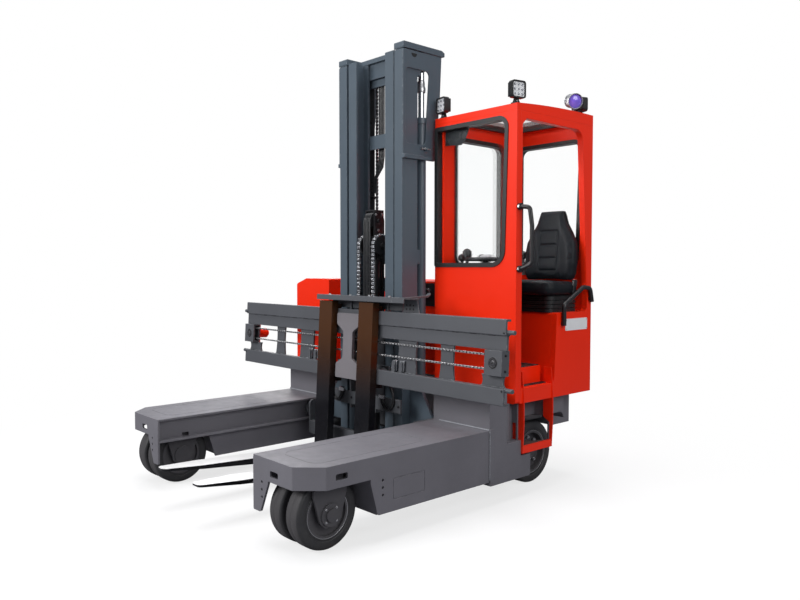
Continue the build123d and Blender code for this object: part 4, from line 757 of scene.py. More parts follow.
# name, across, along, height of the foot, turn in degrees, half size
square_lamps = (("left_front", 0.395, 0.236, roof_height, -12, 0.050),
                ("right_front", 0.970, 0.242, roof_height + 0.001, 78, 0.050),
                ("rear", 0.930, 0.938, roof_height + 0.028, 160, 0.045))
lamp_foot = [(-0.026, -0.004), (0.026, -0.004), (0.014, 0.020), (0.010, 0.034), (-0.010, 0.034),
             (-0.014, 0.020)]
for label, across, along, foot, degrees, half in square_lamps:
    stand = at(across, along, foot) @ turn_by("Z", degrees)
    face = stand @ move_by(0, 0, 0.030 + half) @ turn_by("X", 90)
    lamp = bmesh.new()
    size = 2 * half
    outer, seat = rounded(size, size, 0.016), rounded(size - rim_width, size - rim_width, 0.011)
    plate(lamp, outer, 0.014, 0.028, face, 0, seat)
    plate(lamp, outer, -0.006, 0.014, face)
    plate(lamp, rounded(size - 0.012, size - 0.012, 0.014), -0.012, -0.006, face)
    for number in range(fin_count):
        fin = face @ move_by((number - 3) * (size - 0.02) / (fin_count - 1), 0, 0)
        plate(lamp, rounded(0.003, size - 0.018, 0.0014, 2), -0.024, -0.012, fin)
    plate(lamp, seat, 0.014, glass_height, face, 1)
    clamp = stand @ turn_by("X", 90)
    plate(lamp, lamp_foot, -0.010, 0.010, clamp)
    plate(lamp, rounded(0.056, 0.036, 0.006), -0.006, 0.006, stand)
    piece = finished("lamp_" + label, lamp, [lamp_black, lamp_lens], "chassis", smooth_angle=30)
    if label == "left_front":
        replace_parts(piece, "roof_lamps")
    grid = [(number - 1) * size * 0.27 for number in range(3)]
    outwards = Vector((0, 0, 1))
    cups = [(face @ Vector((x, y, glass_height + 0.0003)), face.to_3x3() @ outwards)
            for x in grid for y in grid]
    screws("lamp_cups_" + label, cups, "chassis", size * 0.055, led_cup)
    pinch = [(clamp @ Vector((0.0, 0.016, 0.010)), clamp.to_3x3() @ outwards)]
    screws("lamp_screw_" + label, pinch, "chassis", 0.004)

spot_aim = Vector((0.80, -0.50, -0.22)).normalized()
spot_place = at(0.972, 0.800, roof_height + 0.100) @ spot_aim.to_track_quat("X", "Z").to_matrix().to_4x4()
spot_stand = at(0.976, 0.800, roof_height + 0.026)
round_lamp = bmesh.new()
barrel = [(-0.050, 0.0005), (-0.050, 0.024), (-0.044, 0.030)]
fin_start, fin_pitch, fin_foot, fin_edge = -0.040, 0.0085, 0.030, 0.043
for number in range(5):
    start = fin_start + number * fin_pitch
    barrel += [(start, fin_foot), (start, fin_edge), (start + 0.004, fin_edge), (start + 0.004, fin_foot)]
barrel += [(0.006, 0.032), (0.014, 0.047), (0.042, 0.048), (0.042, 0.044), (0.030, 0.043), (0.030, 0.0005)]
lens = [(0.0305, 0.0425), (0.036, 0.034), (0.041, 0.018), (0.043, 0.0005)]
turned(round_lamp, barrel, spot_place, 40)
turned(round_lamp, lens, spot_place, 40, bands=(1, 1, 1))
plate(round_lamp, rounded(0.040, 0.050, 0.006), -0.008, 0.006, spot_stand, 2)
plate(round_lamp, rounded(0.020, 0.020, 0.004), 0.006, 0.050, spot_stand, 2)
finished("spot_lamp", round_lamp, [barrel_grey, violet_lens, lamp_black], "chassis",
         smooth_angle=40)

# Windscreen: a tinted sun film over its upper corner, and a small round fan on the post.
sun_film = surface("sun_film", (0.035, 0.038, 0.042), 0.25, grain_depth=0.05, dust=0.02)
film = bmesh.new()
film_edge = [(0.384, 2.132), (0.520, 2.122), (0.548, 2.140), (0.592, 2.226), (0.580, 2.242), (0.384, 2.242)]
plate(film, film_edge, -0.003, 0.0, at(0, 0.262, 0) @ turn_by("X", 90))
finished("sun_film_plate", film, [sun_film], "chassis")
fan = bmesh.new()
fan_place, wire_half, spoke_count = at(0.905, 0.300, 2.010) @ turn_by("Z", -75), 0.0014, 10
for radius in (0.018, 0.030, 0.042, 0.054):
    wire = [(wire_half, radius + wire_half), (wire_half, radius - wire_half),
            (-wire_half, radius - wire_half), (-wire_half, radius + wire_half)]
    turned(fan, wire, fan_place, 32, True)
motor = [(-0.030, 0.0005), (-0.030, 0.026), (-0.006, 0.030), (0.004, 0.014), (0.005, 0.0005)]
turned(fan, motor, fan_place, 28)
turned(fan, [(-0.020, 0.050), (-0.020, 0.056), (0.003, 0.057), (0.003, 0.053)], fan_place, 32, True)
for number in range(spoke_count):
    spoke = fan_place @ turn_by("X", 360 * number / spoke_count) @ move_by(0, 0.032, 0)
    plate(fan, rounded(0.002, 0.048, 0.0008, 1), -0.001, 0.001, spoke)
fan_bracket = fan_place @ move_by(-0.020, 0.0, 0.0) @ turn_by("Y", -90)
plate(fan, rounded(0.014, 0.030, 0.004), -0.015, 0.062, fan_bracket)
finished("cab_fan", fan, [moulded_black], "chassis")

# Blank plate on the cab's side, with a rivet near each corner, and the screws of the handle.
plate_white = surface("plate_white", (0.82, 0.83, 0.84), 0.35, grain_depth=0.02, edge_wear=0.2, dust=0.06)
sign_width, sign_height, sign_thickness, rivet_inset = 0.236, 0.074, 0.0018, 0.009
sign = bmesh.new()
sign_place = at(1.003, 0.815, 1.002) @ turn_by("Y", 90) @ turn_by("Z", 90)
plate(sign, rounded(sign_width, sign_height, 0.008), 0.0, sign_thickness, sign_place)
finished("side_plate", sign, [plate_white], "chassis")
rivets = [(sign_place @ Vector((x, y, sign_thickness)), (1, 0, 0))
          for x in (rivet_inset - sign_width / 2, sign_width / 2 - rivet_inset)
          for y in (rivet_inset - sign_height / 2, sign_height / 2 - rivet_inset)]
screws("side_plate_rivets", rivets, "chassis", 0.0026)
handle_ends = [(spot(1.014, 0.2165, height), (0.25, -0.97, 0)) for height in (1.710, 1.350)]
screws("handle_screws", handle_ends, "chassis", 0.0055)

# Foot well: ribbed rubber mats on the raised step and on the floor beside it.
mats, rib_pitch, mat_height, rib_height = bmesh.new(), 0.011, 0.003, 0.0052
# left, right, front and rear edge, height of the floor
for x0, x1, y0, y1, top in ((0.606, 0.908, 0.256, 0.560, 0.755), (0.920, 0.960, 0.256, 0.580, 0.650)):
    along, width, length = (y0 + y1) / 2, x1 - x0, y1 - y0
    plate(mats, rounded(width, length, 0.008), -0.0005, mat_height, at((x0 + x1) / 2, along, top))
    count = int(width / rib_pitch)
    for number in range(count):
        rib = at(x0 + (number + 0.5) * width / count, along, top)
        plate(mats, rounded(0.005, length - 0.016, 0.002, 2), mat_height, rib_height, rib)
finished("foot_mats", mats, [seal_rubber], "chassis", smooth_angle=30)

# Console: grips on the levers, and a light grey armrest on a bracket beside the seat.
grip_black = surface("grip_black", (0.014, 0.015, 0.017), 0.38, grain_depth=0.2, grain_size=600.0, dust=0.03)
armrest_grey = surface("armrest_grey", (0.42, 0.42, 0.44), 0.45, grain_depth=0.3, grain_size=300.0, dust=0.05)
levers = bmesh.new()
# across, along, foot, top, radius of the grip
lever_places = ((0.540, 0.300, 1.345, 1.478, 0.030), (0.548, 0.858, 1.350, 1.470, 0.021))
for across, along, foot, top, radius in lever_places:
    upright = at(across, along, 0) @ turn_by("Y", -90)
    neck = top - radius * 2.6
    turned(levers, [(foot, radius * 0.9), (foot + 0.010, radius * 0.4), (neck, radius * 0.35),
                    (neck + radius * 0.3, radius * 0.8), (neck + radius * 1.2, radius),
                    (neck + radius * 2.0, radius * 0.92), (top - radius * 0.15, radius * 0.5), (top, 0.0005)],
           upright, 24)
boot = [(1.350, 0.024), (1.362, 0.026), (1.374, 0.017), (1.384, 0.019), (1.394, 0.010)]
turned(levers, boot, at(0.548, 0.858, 0) @ turn_by("Y", -90), 24)
finished("lever_grips", levers, [grip_black], "chassis", smooth_angle=50)
armrest = bmesh.new()
rest_place = at(0.522, 0.755, 1.290)
plate(armrest, rounded(0.086, 0.270, 0.022), 0.018, 0.060, rest_place)
plate(armrest, rounded(0.050, 0.200, 0.010), 0.0, 0.018, rest_place @ move_by(-0.015, 0, 0))
bmesh.ops.bevel(armrest, geom=armrest.edges[:], offset=0.004, segments=2, affect="EDGES", clamp_overlap=True)
finished("armrest", armrest, [armrest_grey], "chassis", smooth_angle=50)
wheel_cap = bmesh.new()
cap_profile = [(0.010, 0.040), (0.020, 0.037), (0.028, 0.026), (0.031, 0.0005)]
turned(wheel_cap, cap_profile, at(0.630, 0.380, 1.410) @ turn_by("Y", -90), 36)
finished("steering_wheel_cap", wheel_cap, [armrest_grey], "chassis", smooth_angle=60)

# Seat belt buckle: a black stalk beside the cushion, with a red release button on top.
button_red = surface("button_red", (0.60, 0.020, 0.012), 0.35, dust=0.02)
buckle = bmesh.new()
stalk = at(0.990, 0.800, 1.190) @ turn_by("X", -8)
plate(buckle, rounded(0.014, 0.030, 0.004), -0.010, 0.055, stalk)
plate(buckle, rounded(0.020, 0.036, 0.006), 0.050, 0.092, stalk)
plate(buckle, rounded(0.014, 0.026, 0.004), 0.092, 0.096, stalk, 1)
finished("belt_buckle", buckle, [grip_black, button_red], "chassis")


# Lift chains: leaf chains, packs of oval link plates on short pins, which run from the lift
# block over the crosshead's sheaves and down behind the free-lift cylinder.
chain_tree, chain = new_tree("chain", {
    "Points": "Geometry", "Plates": "Int", "Plate Gap": "Float", "Plate Thickness": "Float",
    "Plate Length": "Float", "Plate Width": "Float", "Pin Radius": "Float", "Pin Length": "Float",
    "Pin Place": "Float", "Plate Material": "Material", "Pin Material": "Material"}, "Chain")
lying = (0.0, math.radians(90), 0.0)
plate_size = add(chain_tree, "ShaderNodeCombineXYZ", {
    "X": chain["Plate Length"], "Y": chain["Plate Width"], "Z": chain["Plate Thickness"]}).outputs[0]
link_plate = add(chain_tree, "GeometryNodeTransform", {
    "Geometry": cylinder(chain_tree, 12, 0.5, 1.0), "Rotation": lying, "Scale": plate_size})
row_whole = worked(chain_tree, "MULTIPLY", chain["Plates"], chain["Plate Gap"])
row_half = worked(chain_tree, "MULTIPLY", chain["Plate Gap"], 0.5)
row_start = worked(chain_tree, "MULTIPLY_ADD", row_whole, -0.5, row_half)
plate_row = add(chain_tree, "GeometryNodeMeshLine", {
    "Count": chain["Plates"],
    "Offset": add(chain_tree, "ShaderNodeCombineXYZ", {"X": chain["Plate Gap"]}).outputs[0],
    "Start Location": add(chain_tree, "ShaderNodeCombineXYZ", {"X": row_start}).outputs[0]}).outputs["Mesh"]
plate_pack = add(chain_tree, "GeometryNodeInstanceOnPoints", {
    "Points": plate_row, "Instance": link_plate.outputs["Geometry"]})
plates = painted(chain_tree, plate_pack.outputs["Instances"], chain["Plate Material"])
pin_place = add(chain_tree, "ShaderNodeCombineXYZ", {"Z": chain["Pin Place"]}).outputs[0]
link_pin = add(chain_tree, "GeometryNodeTransform", {
    "Geometry": cylinder(chain_tree, 12, chain["Pin Radius"], chain["Pin Length"]), "Rotation": lying,
    "Translation": pin_place}).outputs["Geometry"]
pins = painted(chain_tree, link_pin, chain["Pin Material"])
along_run = add(chain_tree, "FunctionNodeAlignRotationToVector", {
    "Vector": carried(chain_tree, "along")}, axis="Z")
across_run = add(chain_tree, "FunctionNodeAlignRotationToVector", {
    "Rotation": along_run.outputs["Rotation"], "Vector": carried(chain_tree, "facing")},
    axis="X", pivot_axis="Z")
links = set_out(chain_tree, points=chain["Points"], instance=joined(chain_tree, plates, pins),
                rotation=across_run.outputs["Rotation"])
add(chain_tree, "NodeGroupOutput", {0: links})


def chain_spots(name, runs, pitch, facing, stagger, turns=(0, 1)):
    # runs: lists of points a chain follows; stagger: sideways step of every second link;
    # turns: which of every two links are set out
    places, ways = [], []
    for run in runs:
        lengths = [(Vector(b) - Vector(a)).length for a, b in zip(run, run[1:])]
        whole, count = sum(lengths), int(sum(lengths) / pitch)
        for number in range(count):
            if number % 2 not in turns:
                continue
            left = whole * (number + 0.5) / count
            for (start, end), length in zip(zip(run, run[1:]), lengths):
                if left <= length:
                    break
                left -= length
            way = (Vector(end) - Vector(start)).normalized()
            side = Vector(facing) * (stagger if number % 2 else -stagger)
            places.append(Vector(start) + way * left + side)
            ways.append(way)
    return point_mesh(name, places, along=ways, facing=[facing] * len(places))


def bend(middle, radius, steps=12):
    # points of an upper half circle, from the front over the top to the back
    points = []
    for number in range(steps + 1):
        angle = math.pi * number / steps
        points.append(Vector((0, -radius * math.cos(angle), radius * math.sin(angle))) + middle)
    return points


link_dark = surface("link_dark", (0.030, 0.030, 0.034), 0.32, metallic=0.3, grain_depth=0.05, dust=0.05,
                    variation=0.2)
link_bright = surface("link_bright", (0.66, 0.67, 0.70), 0.24, metallic=0.85, dust=0.02)
leaf = {"Plates": 4, "Plate Gap": 0.0046, "Plate Thickness": 0.0021, "Plate Length": 0.0205,
        "Plate Width": 0.0110, "Pin Radius": 0.0042, "Pin Length": 0.0252, "Pin Place": 0.0065,
        "Plate Material": link_dark, "Pin Material": link_bright}
wide_leaf = leaf | {"Plates": 5, "Plate Length": 0.0145, "Plate Width": 0.0155, "Plate Material": link_bright}
cylinder_y, chain_out, leaf_pitch = -0.010, 0.072, 0.013
sheave_height, sheave_radius, chain_foot, chain_end = 1.500, 0.070, 1.054, 0.702
chain_runs = []
for across in (chain_out, -chain_out):
    over_sheave = bend(spot(across, cylinder_y, sheave_height), sheave_radius)
    chain_runs.append([spot(across, cylinder_y - sheave_radius, chain_foot), *over_sheave,
                       spot(across, cylinder_y + sheave_radius, chain_end)])
narrow_spots = chain_spots("leaf_chain_spots", chain_runs, leaf_pitch, (1, 0, 0), 0.0, (0,))
wide_spots = chain_spots("wide_link_spots", chain_runs, leaf_pitch, (1, 0, 0), 0.0, (1,))
leaf_chains = grown("leaf_chains", narrow_spots, chain_tree, leaf, "crosshead")
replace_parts(leaf_chains, "lift_chains")
grown("leaf_chain_links", wide_spots, chain_tree, wide_leaf, "crosshead")

# Hoses: a flat bundle of black hydraulic hoses over the crosshead's pulley, and the column of
# hoses and chains clamped behind the mast's crossmembers.
hose_rubber = surface("hose_rubber", (0.012, 0.013, 0.015), 0.28, grain_depth=0.15, grain_size=800.0,
                      dust=0.05, variation=0.15)


def hose(shape, points, radius, sides=10):
    # a round hose along points that lie close together on its bends
    rings = []
    for number, point in enumerate(points):
        before, after = Vector(points[max(number - 1, 0)]), Vector(points[min(number + 1, len(points) - 1)])
        way = (after - before).normalized()
        side = way.orthogonal().normalized() if not rings else (side - way * side.dot(way)).normalized()
        up = way.cross(side)
        rings.append([shape.verts.new(Vector(point) + radius * (side * math.cos(math.tau * turn / sides)
                                                               + up * math.sin(math.tau * turn / sides)))
                      for turn in range(sides)])
    shape.faces.new(list(reversed(rings[0])))
    shape.faces.new(rings[-1])
    for here, ahead in zip(rings, rings[1:]):
        for turn in range(sides):
            after = (turn + 1) % sides
            shape.faces.new((here[turn], here[after], ahead[after], ahead[turn]))


bundle = bmesh.new()
pulley_height, pulley_radius, hose_pitch, hose_radius = 1.660, 0.0585, 0.0142, 0.0056
bundle_foot, bundle_bend, bundle_end = 1.056, 1.350, 0.740
for number in range(5):
    across = (number - 2) * hose_pitch
    reach = pulley_radius + 0.0008 * (number % 2)
    path = [spot(across * 1.1, cylinder_y - reach - 0.004, bundle_foot),
            spot(across, cylinder_y - reach - 0.002, bundle_bend)]
    path += bend(spot(across, cylinder_y, pulley_height), reach)
    path += [spot(across, cylinder_y + reach, height) for height in (bundle_bend, bundle_end)]
    hose(bundle, path, hose_radius)
finished("pulley_hoses", bundle, [hose_rubber], "crosshead", smooth_angle=60)

(column_left, column_near, column_foot), (column_right, column_far, column_head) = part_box("mast_hoses")
column_middle = (column_near + column_far) / 2
column, column_radius, column_sides = bmesh.new(), 0.0066, 12
for number in range(5):
    across = column_left + 0.041 + number * 0.0132
    hose(column, [(across, column_middle, column_foot), (across, column_middle, column_head)], column_radius,
         column_sides)
for number in range(4):
    across = column_right + 0.014 + number * 0.0145
    gathered = column_right - 0.030 + number * 0.004
    path = [(gathered, 1.86), (gathered, 1.96), (across - 0.012, 2.03), (across, 2.10), (across, 2.62)]
    hose(column, [(x, column_middle, height) for x, height in path], column_radius, column_sides)
for height in (0.62, 1.02, 1.425, 1.83, 2.22, 2.60):
    clamp = move_by(column_left + 0.067, column_middle, height)
    plate(column, rounded(0.078, 0.0150, 0.003), -0.010, 0.010, clamp)
hose_column = finished("hose_column", column, [hose_rubber], "reach_carriage", smooth_angle=60)
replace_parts(hose_column, "mast_hoses")
column_runs = [[(across, column_middle, column_foot), (across, column_middle, column_head)]
               for across in (column_left + 0.010, column_right - 0.012)]
thin_leaf = wide_leaf | {"Plates": 4, "Plate Width": 0.0125, "Plate Length": 0.0255,
                         "Plate Material": link_dark, "Pin Length": 0.0205, "Pin Radius": 0.0034}
grown("column_chains", chain_spots("column_chain_spots", column_runs, 0.024, (1, 0, 0), 0.0), chain_tree,
      thin_leaf, "reach_carriage")

# Mast: weld beads where plates meet the channels, and the screws on the crosshead's side.
weld_tree, asked = new_tree("weld", {
    "Points": "Geometry", "Bead": "Float", "Seed": "Int", "Material": "Material"}, "Weld")
drop = add(weld_tree, "GeometryNodeMeshUVSphere", {"Segments": 8, "Rings": 5, "Radius": asked["Bead"]})
uneven = add(weld_tree, "FunctionNodeRandomValue", {
    2: 0.75, 3: 1.15, "Seed": asked["Seed"]}, data_type="FLOAT")
beads = set_out(weld_tree, points=asked["Points"], instance=drop.outputs["Mesh"], scale=uneven.outputs[1])
add(weld_tree, "NodeGroupOutput", {0: painted(weld_tree, beads, asked["Material"])})


def weld(name, runs, body, bead, material, place=None):
    spots = []
    for start, end in runs:
        start, end = Vector(start), Vector(end)
        count = max(2, int((end - start).length / (bead * 1.25)))
        spots += [start.lerp(end, number / (count - 1)) for number in range(count)]
    values = {"Bead": bead, "Seed": 7, "Material": material}
    return grown(name, point_mesh(name + "_spots", spots), weld_tree, values, body, place, 60.0)


mast_front, bracket_height, cap_height = -0.046, 2.0605, 2.7105
mast_runs, cap_runs = [], []
for sign in (1, -1):
    mast_runs += [[spot(sign * 0.3125, mast_front + 0.001, height) for height in (2.04, 2.70)],
                  [spot(sign * 0.3215, along, bracket_height) for along in (-0.04, 0.18)],
                  [spot(sign * 0.3130, 0.022, height) for height in (0.44, 0.75)]]
    cap_runs.append([spot(sign * across, mast_front + 0.004, cap_height) for across in (0.236, 0.320)])
weld("mast_welds", mast_runs, "reach_carriage", 0.0032, mast_grey)
weld("cap_welds", cap_runs, "inner_mast", 0.0030, mast_grey)
crosshead_screws = [(spot(0.0445, cylinder_y + along, height), (1, 0, 0))
                    for along, height in ((-0.022, 1.70), (0.030, 1.70), (0.0, 1.600))]
screws("crosshead_screws", crosshead_screws, "crosshead", 0.0065)


# Fork positioner: a silver roller chain in two runs between sprockets, which stand in the
# housings at the carriage's ends and show their shaft ends through round windows.
pivot = spot(0.0, -0.130, 1.040)
leaning = Matrix.Translation(pivot) @ turn_by("X", -3) @ Matrix.Translation(-pivot)
zinc_link = surface("zinc_link", (0.60, 0.60, 0.61), 0.26, metallic=0.85, grain_depth=0.02, dust=0.03,
                    variation=0.12)
# Painted shade: a near-black finish for flat discs that stand in for the dark inside of windows, slots and
# holes.
painted_hole_shade = surface("painted_hole_shade", (0.006, 0.006, 0.007), 0.5, dust=0.02)
sprocket_x, chain_height, chain_radius, chain_y, roller_pitch = 1.206, 0.8585, 0.0385, -0.186, 0.0127
loop = []
for sign in (1, -1):
    for number in range(11):
        angle = math.pi * number / 10
        loop.append(spot(sign * (sprocket_x + chain_radius * math.sin(angle)), chain_y,
                         chain_height + sign * chain_radius * math.cos(angle)))
loop = [loop[-1], *loop]
roller = {"Plates": 2, "Plate Gap": 0.0072, "Plate Thickness": 0.0014, "Plate Length": 0.0205,
          "Plate Width": 0.0112, "Pin Radius": 0.0046, "Pin Length": 0.0098, "Pin Place": 0.00635,
          "Plate Material": zinc_link, "Pin Material": link_dark}
roller_spots = chain_spots("roller_chain_spots", [loop], roller_pitch, (0, 1, 0), 0.0006)
roller_chain = grown("roller_chain", roller_spots, chain_tree, roller, "fork_carriage",
                     leaning)
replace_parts(roller_chain, "positioner_chain")
# each window is a dark disc behind the shaft end, painted shade of the housing's inside
window_shade_disc = [(0.0004, 0.0005), (0.0004, 0.030), (-0.001, 0.030)]
window_rim = [(0.0006, 0.0300), (0.0012, 0.0310), (0.0006, 0.0320), (-0.001, 0.0320)]
shaft_end = [(0.0030, 0.0005), (0.0030, 0.0140), (0.0022, 0.0155), (-0.001, 0.0155)]
hub_ring = [(0.0034, 0.0235), (0.0034, 0.0195), (-0.001, 0.0195)]
sprocket = [(-0.021, 0.0240), (-0.021, 0.0370), (-0.029, 0.0370), (-0.029, 0.0240)]
windows = bmesh.new()
for sign in (1, -1):
    hub = leaning @ at(sign * sprocket_x, -0.218, chain_height) @ turn_by("Z", -90)
    turned(windows, window_shade_disc, hub, 40)
    turned(windows, window_rim, hub, 40, bands=(1, 1, 1))
    turned(windows, shaft_end, hub, 32, bands=(2, 2, 2))
    turned(windows, hub_ring, hub, 32, bands=(2, 2))
    plate(windows, rounded(0.006, 0.016, 0.002, 2), 0.002, 0.0042, hub @ turn_by("Y", 90) @ turn_by("Z", 25))
    turned(windows, sprocket, hub, 20, True, (2, 2, 2, 2))
finished("sprocket_windows", windows, [painted_hole_shade, rail_grey, hub_grey], "fork_carriage",
         smooth_angle=40)
end_face, pin_line = 1.268, 1.262
end_screws = [(leaning @ spot(sign * end_face, -0.190, height), (sign, 0, 0))
              for sign in (1, -1) for height in (0.818, 0.900)]
screws("housing_end_screws", end_screws, "fork_carriage", 0.0055, satin_black)
forwards = leaning.to_3x3() @ Vector((0, -1, 0))
pin_screws = [(leaning @ spot(sign * pin_line, -0.204, height), forwards)
              for sign in (1, -1) for height in (1.017, 0.716)]
screws("stop_pin_screws", pin_screws, "fork_carriage", 0.0045, satin_black)

# Carriage: stitch welds under the top rail, beads at the struts' feet, bolts of the guard, and
# bright caps and straps on the two clamps.
stitch_y, stitch_height, stitch_half, first_stitch, stitch_pitch = -0.1915, 1.0015, 0.022, -1.17, 0.13
stitches = []
for number in range(19):
    middle = first_stitch + number * stitch_pitch
    stitches.append([spot(middle + end, stitch_y, stitch_height) for end in (-stitch_half, stitch_half)])
weld("rail_stitches", stitches, "fork_carriage", 0.0028, satin_black, leaning)
feet = []
for sign in (1, -1):
    for middle, width in ((0.509, 0.164), (0.837, 0.115), (1.175, 0.160)):
        half = width / 2 - 0.004
        feet.append([spot(sign * (middle + end), -0.1775, 0.7312) for end in (-half, half)])
weld("strut_welds", feet, "fork_carriage", 0.0030, rail_grey, leaning)
guard_bolts = [(leaning @ spot(across, -0.202, 1.1762), (0, 0, 1)) for across in (-0.235, -0.02, 0.17, 0.36)]
screws("guard_bolts", guard_bolts, "fork_carriage", 0.0075, bare_steel)
clamp_caps, strap_edge = bmesh.new(), 0.0145
for middle in (0.449, -0.415):
    for across in (middle - 0.031, middle + 0.033):
        plate(clamp_caps, rounded(0.034, 0.024, 0.005), 0.0, 0.0045, leaning @ at(across, -0.176, 0.796))
        strap = leaning @ at(across, -0.1855, 0.768) @ turn_by("X", 90)
        for edge in (-strap_edge, strap_edge):
            plate(clamp_caps, rounded(0.007, 0.062, 0.002, 2), 0.0, 0.004, strap @ move_by(edge, 0, 0))
finished("clamp_caps", clamp_caps, [link_bright], "fork_carriage")


# Lift block: twin hoses that loop from a clamp to the tilt cylinders, and bolts on its plates.
def curve(knots, steps):
    # a smooth line that passes through every knot
    points = []
    for number in range(len(knots) - 1):
        before, start, end = knots[max(number - 1, 0)], knots[number], knots[number + 1]
        after = knots[min(number + 2, len(knots) - 1)]
        for step in range(steps):
            t = step / steps
            points.append(0.5 * (2 * start + (end - before) * t
                                 + (2 * before - 5 * start + 4 * end - after) * t * t
                                 + (3 * start - before - 3 * end + after) * t * t * t))
    return points


# across, height, share of the second hose's sideways step
hose_knots = ((0.190, 0.560, 1.0), (0.205, 0.500, 1.0), (0.250, 0.470, 1.0), (0.300, 0.500, 0.4),
              (0.305, 0.570, 0.4), (0.262, 0.640, 0.4), (0.232, 0.672, 0.3))
loops, loop_y, hose_step = bmesh.new(), -0.119, 0.016
for sign in (1, -1):
    for number in range(2):
        knots = [spot(sign * (across + hose_step * number * share), loop_y, height)
                 for across, height, share in hose_knots]
        hose(loops, curve(knots, 5), 0.0065)
    clamp = at(sign * 0.205, 0, 0.545) @ turn_by("X", -90)
    plate(loops, rounded(0.052, 0.022, 0.004), -0.116, -0.1265, clamp, 1)
finished("block_hoses", loops, [hose_rubber, bare_steel], "lift_block", smooth_angle=60)
block_bolts = [(spot(sign * across, -0.110, 0.498), (0, -1, 0))
               for sign in (1, -1) for across in (0.115, 0.350)]
screws("block_bolts", block_bolts, "lift_block", 0.0065, satin_black)

# Guard: the tray over the shanks runs on to the cab's side in a bent plate with a folded lip.
guard_end = bmesh.new()
tray_end, tray_low, tray_high, lip_foot, tray_front = 0.449, 1.166, 1.1758, 1.143, -0.262
tray = [(tray_end, tray_front), (0.549, tray_front), (0.553, -0.258), (0.560, -0.142), (tray_end, -0.142)]
tray_lip = [(tray_end, tray_front), (0.551, tray_front), (0.551, -0.254), (tray_end, -0.254)]
plate(guard_end, tray, tray_low, tray_high, leaning @ at(0, 0, 0))
plate(guard_end, tray_lip, lip_foot, tray_low, leaning @ at(0, 0, 0))
finished("guard_end", guard_end, [rail_grey], "fork_carriage")


# Entry step: cheeks of bowed red sheet under the sill, which carry a tread with a folded lip and
# a rough coat; the tread is cut away where the rear wheel turns.
sill, step_top, step_low, lip_x, step_out, step_in = 0.748, 0.306, 0.262, 0.995, 1.003, 0.917
tread_front, tread_rear, wheel_clearance, edge_steps = 0.289, 0.571, 0.215, 12
entry = bmesh.new()
bowed = [(step_out, step_low), (1.012, 0.430), (1.011, 0.600), (0.997, sill)]
front_cheek = [(step_in, step_low), *bowed, (step_in, sill)]
rear_cheek = [(0.987, step_low), *bowed, (0.940, sill), (0.940, 0.440), (0.987, 0.410)]
for corners, along in ((front_cheek, 0.282), (rear_cheek, 0.563)):
    plate(entry, corners, -along - 0.007, -along, at(0, 0, 0) @ turn_by("X", 90))
wheel_across, wheel_along = wheel_places["rear"]
inner_edge = []
for number in range(edge_steps + 1):
    along = tread_rear - number * (tread_rear - tread_front) / edge_steps
    clear = math.sqrt(max(0.0, wheel_clearance ** 2 - (wheel_along - along) ** 2))
    inner_edge.append((max(step_in, wheel_across + clear), along))
lip = [(lip_x, tread_front), (step_out, tread_front), (step_out, tread_rear), (lip_x, tread_rear)]
step_edge = inner_edge + [(lip_x, tread_front), (lip_x, tread_rear)]
plate(entry, step_edge, step_top - 0.006, step_top, at(0, 0, 0))
plate(entry, lip, step_low, step_top, at(0, 0, 0))
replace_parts(finished("entry_step_sheet", entry, [red_lacquer], "chassis"), "entry_step")
grip_coat = surface("grip_coat", (0.060, 0.020, 0.016), 0.75, grain_depth=0.8, grain_size=420.0,
                    variation=0.3, dust=0.3)
coat_out = lip_x - 0.004
coat = [(x + 0.006, y) for x, y in inner_edge] + [(coat_out, tread_front), (coat_out, tread_rear)]
tread_plate = bmesh.new()
plate(tread_plate, coat, step_top, step_top + 0.0012, at(0, 0, 0))
finished("step_tread", tread_plate, [grip_coat], "chassis")

# Painted shade: a dark plate on the tower's outer wall in front of the step, standing in for the shade of a
# recess there.
recess_shade_violet = surface("recess_shade_violet", (0.030, 0.027, 0.033), 0.45, dust=0.05)
recess_shade = bmesh.new()
recess_shade_place = at(0.9152, 0.208, 0.545) @ turn_by("Z", 90) @ turn_by("X", 90)
plate(recess_shade, rounded(0.150, 0.400, 0.004), 0.0, 0.0015, recess_shade_place)
finished("recess_shade_panel", recess_shade, [recess_shade_violet], "chassis")

# Service panel: a silver ring round its lock.
lock_ring = bmesh.new()
ring_profile = [(0.0005, 0.0245), (0.0030, 0.0240), (0.0030, 0.0180), (0.0005, 0.0175)]
ring_place = move_by(0.168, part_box("service_panel")[0][1], 1.194) @ turn_by("Z", -90)
turned(lock_ring, ring_profile, ring_place, 32, True)
finished("service_ring", lock_ring, [link_bright], "chassis")

# Arm collars: weld beads in a light grey, a painted highlight across the top and down the outer corner.
collar_painted_highlight = surface("collar_painted_highlight", (0.30, 0.31, 0.34), 0.30, grain_depth=0.1, dust=0.05)
collar_face, collar_top, corner_low, collar_foot = -0.0010, 0.4420, 0.4320, 0.1600
collar_runs = []
for sign in (1, -1):
    inner_end, corner, corner_end, outer_top, outer_foot = [
        spot(sign * across, collar_face, height) for across, height in (
            (0.600, collar_top), (0.985, collar_top), (0.996, corner_low), (0.9965, corner_low),
            (0.9965, collar_foot))]
    collar_runs += [(inner_end, corner), (corner, corner_end), (outer_top, outer_foot)]
weld("collar_welds", collar_runs, "chassis", 0.0042, collar_painted_highlight)

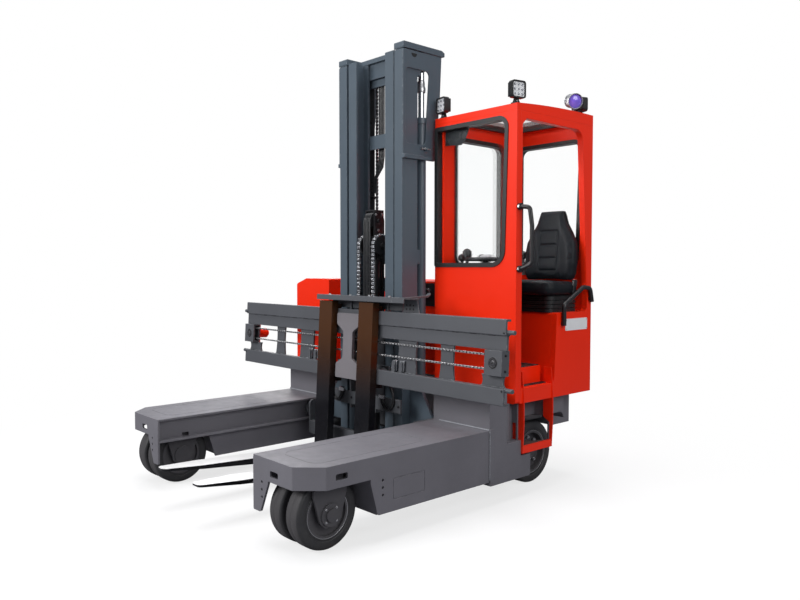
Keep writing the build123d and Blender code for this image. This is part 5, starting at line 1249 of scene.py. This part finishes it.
# Mast: a half-round slot under each cap, drawn as a dark half-disc of painted shade, clamp bolts on
# the side plates, and the lift rods' silver clevises in the plates' windows.
slot_shades, clevises, clamp_bolts = bmesh.new(), bmesh.new(), bmesh.new()
slot_radius, plate_face = 0.024, 0.3200
half_round = []
for step in range(11):
    angle = math.pi * step / 10
    half_round.append((slot_radius * math.cos(angle), -slot_radius * math.sin(angle)))
clevis = [(2.468, 0.0205), (2.468, 0.0270), (2.482, 0.0290), (2.496, 0.0290), (2.508, 0.0240),
          (2.530, 0.0240), (2.545, 0.0205)]
rod_nut = [(2.600, 0.0205), (2.602, 0.0260), (2.630, 0.0260), (2.634, 0.0205)]
# each stretch of the clamp bolt: where it ends along the bolt, and its radius
bolt = [(0.0, 0.0005)]
bolt_start = 0.0
for bolt_end, radius in ((0.010, 0.0080), (0.028, 0.0040), (0.034, 0.0090), (0.040, 0.0040), (0.052, 0.0090),
                         (0.078, 0.0040)):
    bolt += [(bolt_start, radius), (bolt_end, radius)]
    bolt_start = bolt_end
bolt.append((bolt_start, 0.0005))
clamp_ear = [(-0.013, -0.012), (0.010, -0.012), (0.010, 0.012), (-0.013, 0.012)]
for sign in (1, -1):
    slot_place = at(sign * plate_face, 0.047, 2.688) @ turn_by("Z", 90 * sign) @ turn_by("X", 90)
    plate(slot_shades, half_round, 0.0, 0.0006, slot_place)
    rod_line = at(sign * 0.275, 0.150, 0) @ turn_by("Y", -90)
    turned(clevises, clevis, rod_line, 24)
    turned(clevises, rod_nut, rod_line, 24)
    bolt_line = at(sign * 0.333, 0.100, 2.106) @ turn_by("Z", 90)
    turned(clamp_bolts, bolt, bolt_line, 12)
    plate(clamp_bolts, clamp_ear, 0.034, 0.040, bolt_line @ turn_by("Y", 90) @ turn_by("Z", 90), 1)
finished("cap_slot_shades", slot_shades, [painted_hole_shade], "reach_carriage")
finished("rod_clevises", clevises, [bare_steel], "inner_mast", smooth_angle=40)
finished("plate_clamp_bolts", clamp_bolts, [bare_steel, mast_grey], "reach_carriage",
         smooth_angle=40)

# Arms: the closed seam of the plate let into each arm's top.
seam_shade = surface("seam_shade", (0.070, 0.068, 0.078), 0.45, dust=0.05)
seams = bmesh.new()
for sign in (1, -1):
    outline = [spot(sign * 0.770 + x, -0.785 + y, 0.4390) for x, y in rounded(0.290, 0.730, 0.060, 8)]
    hose(seams, outline + [outline[0]], 0.0009, 6)
finished("arm_seams", seams, [seam_shade], "chassis", smooth_angle=60)

# Guard: a drilled gusset that carries its cab-side end; its holes are dark discs of painted shade.
gusset = bmesh.new()
gusset_plate = [(0.440, 1.010), (0.600, 1.010), (0.560, 1.165), (0.440, 1.165)]
gusset_place = leaning @ at(0, -0.156, 0) @ turn_by("X", 90)
plate(gusset, gusset_plate, -0.004, 0.0, gusset_place)
first_hole, hole_foot, column_pitch, row_pitch = 0.468, 1.085, 0.030, 0.024
for column_number in range(3):
    for row_number in range(3):
        hole = move_by(first_hole + column_number * column_pitch, hole_foot + row_number * row_pitch, 0)
        turned(gusset, [(0.0004, 0.0005), (0.0004, 0.0070), (-0.001, 0.0070)],
               gusset_place @ hole @ turn_by("Y", -90), 16, bands=(1, 1))
finished("guard_gusset", gusset, [rail_grey, painted_hole_shade], "fork_carriage")
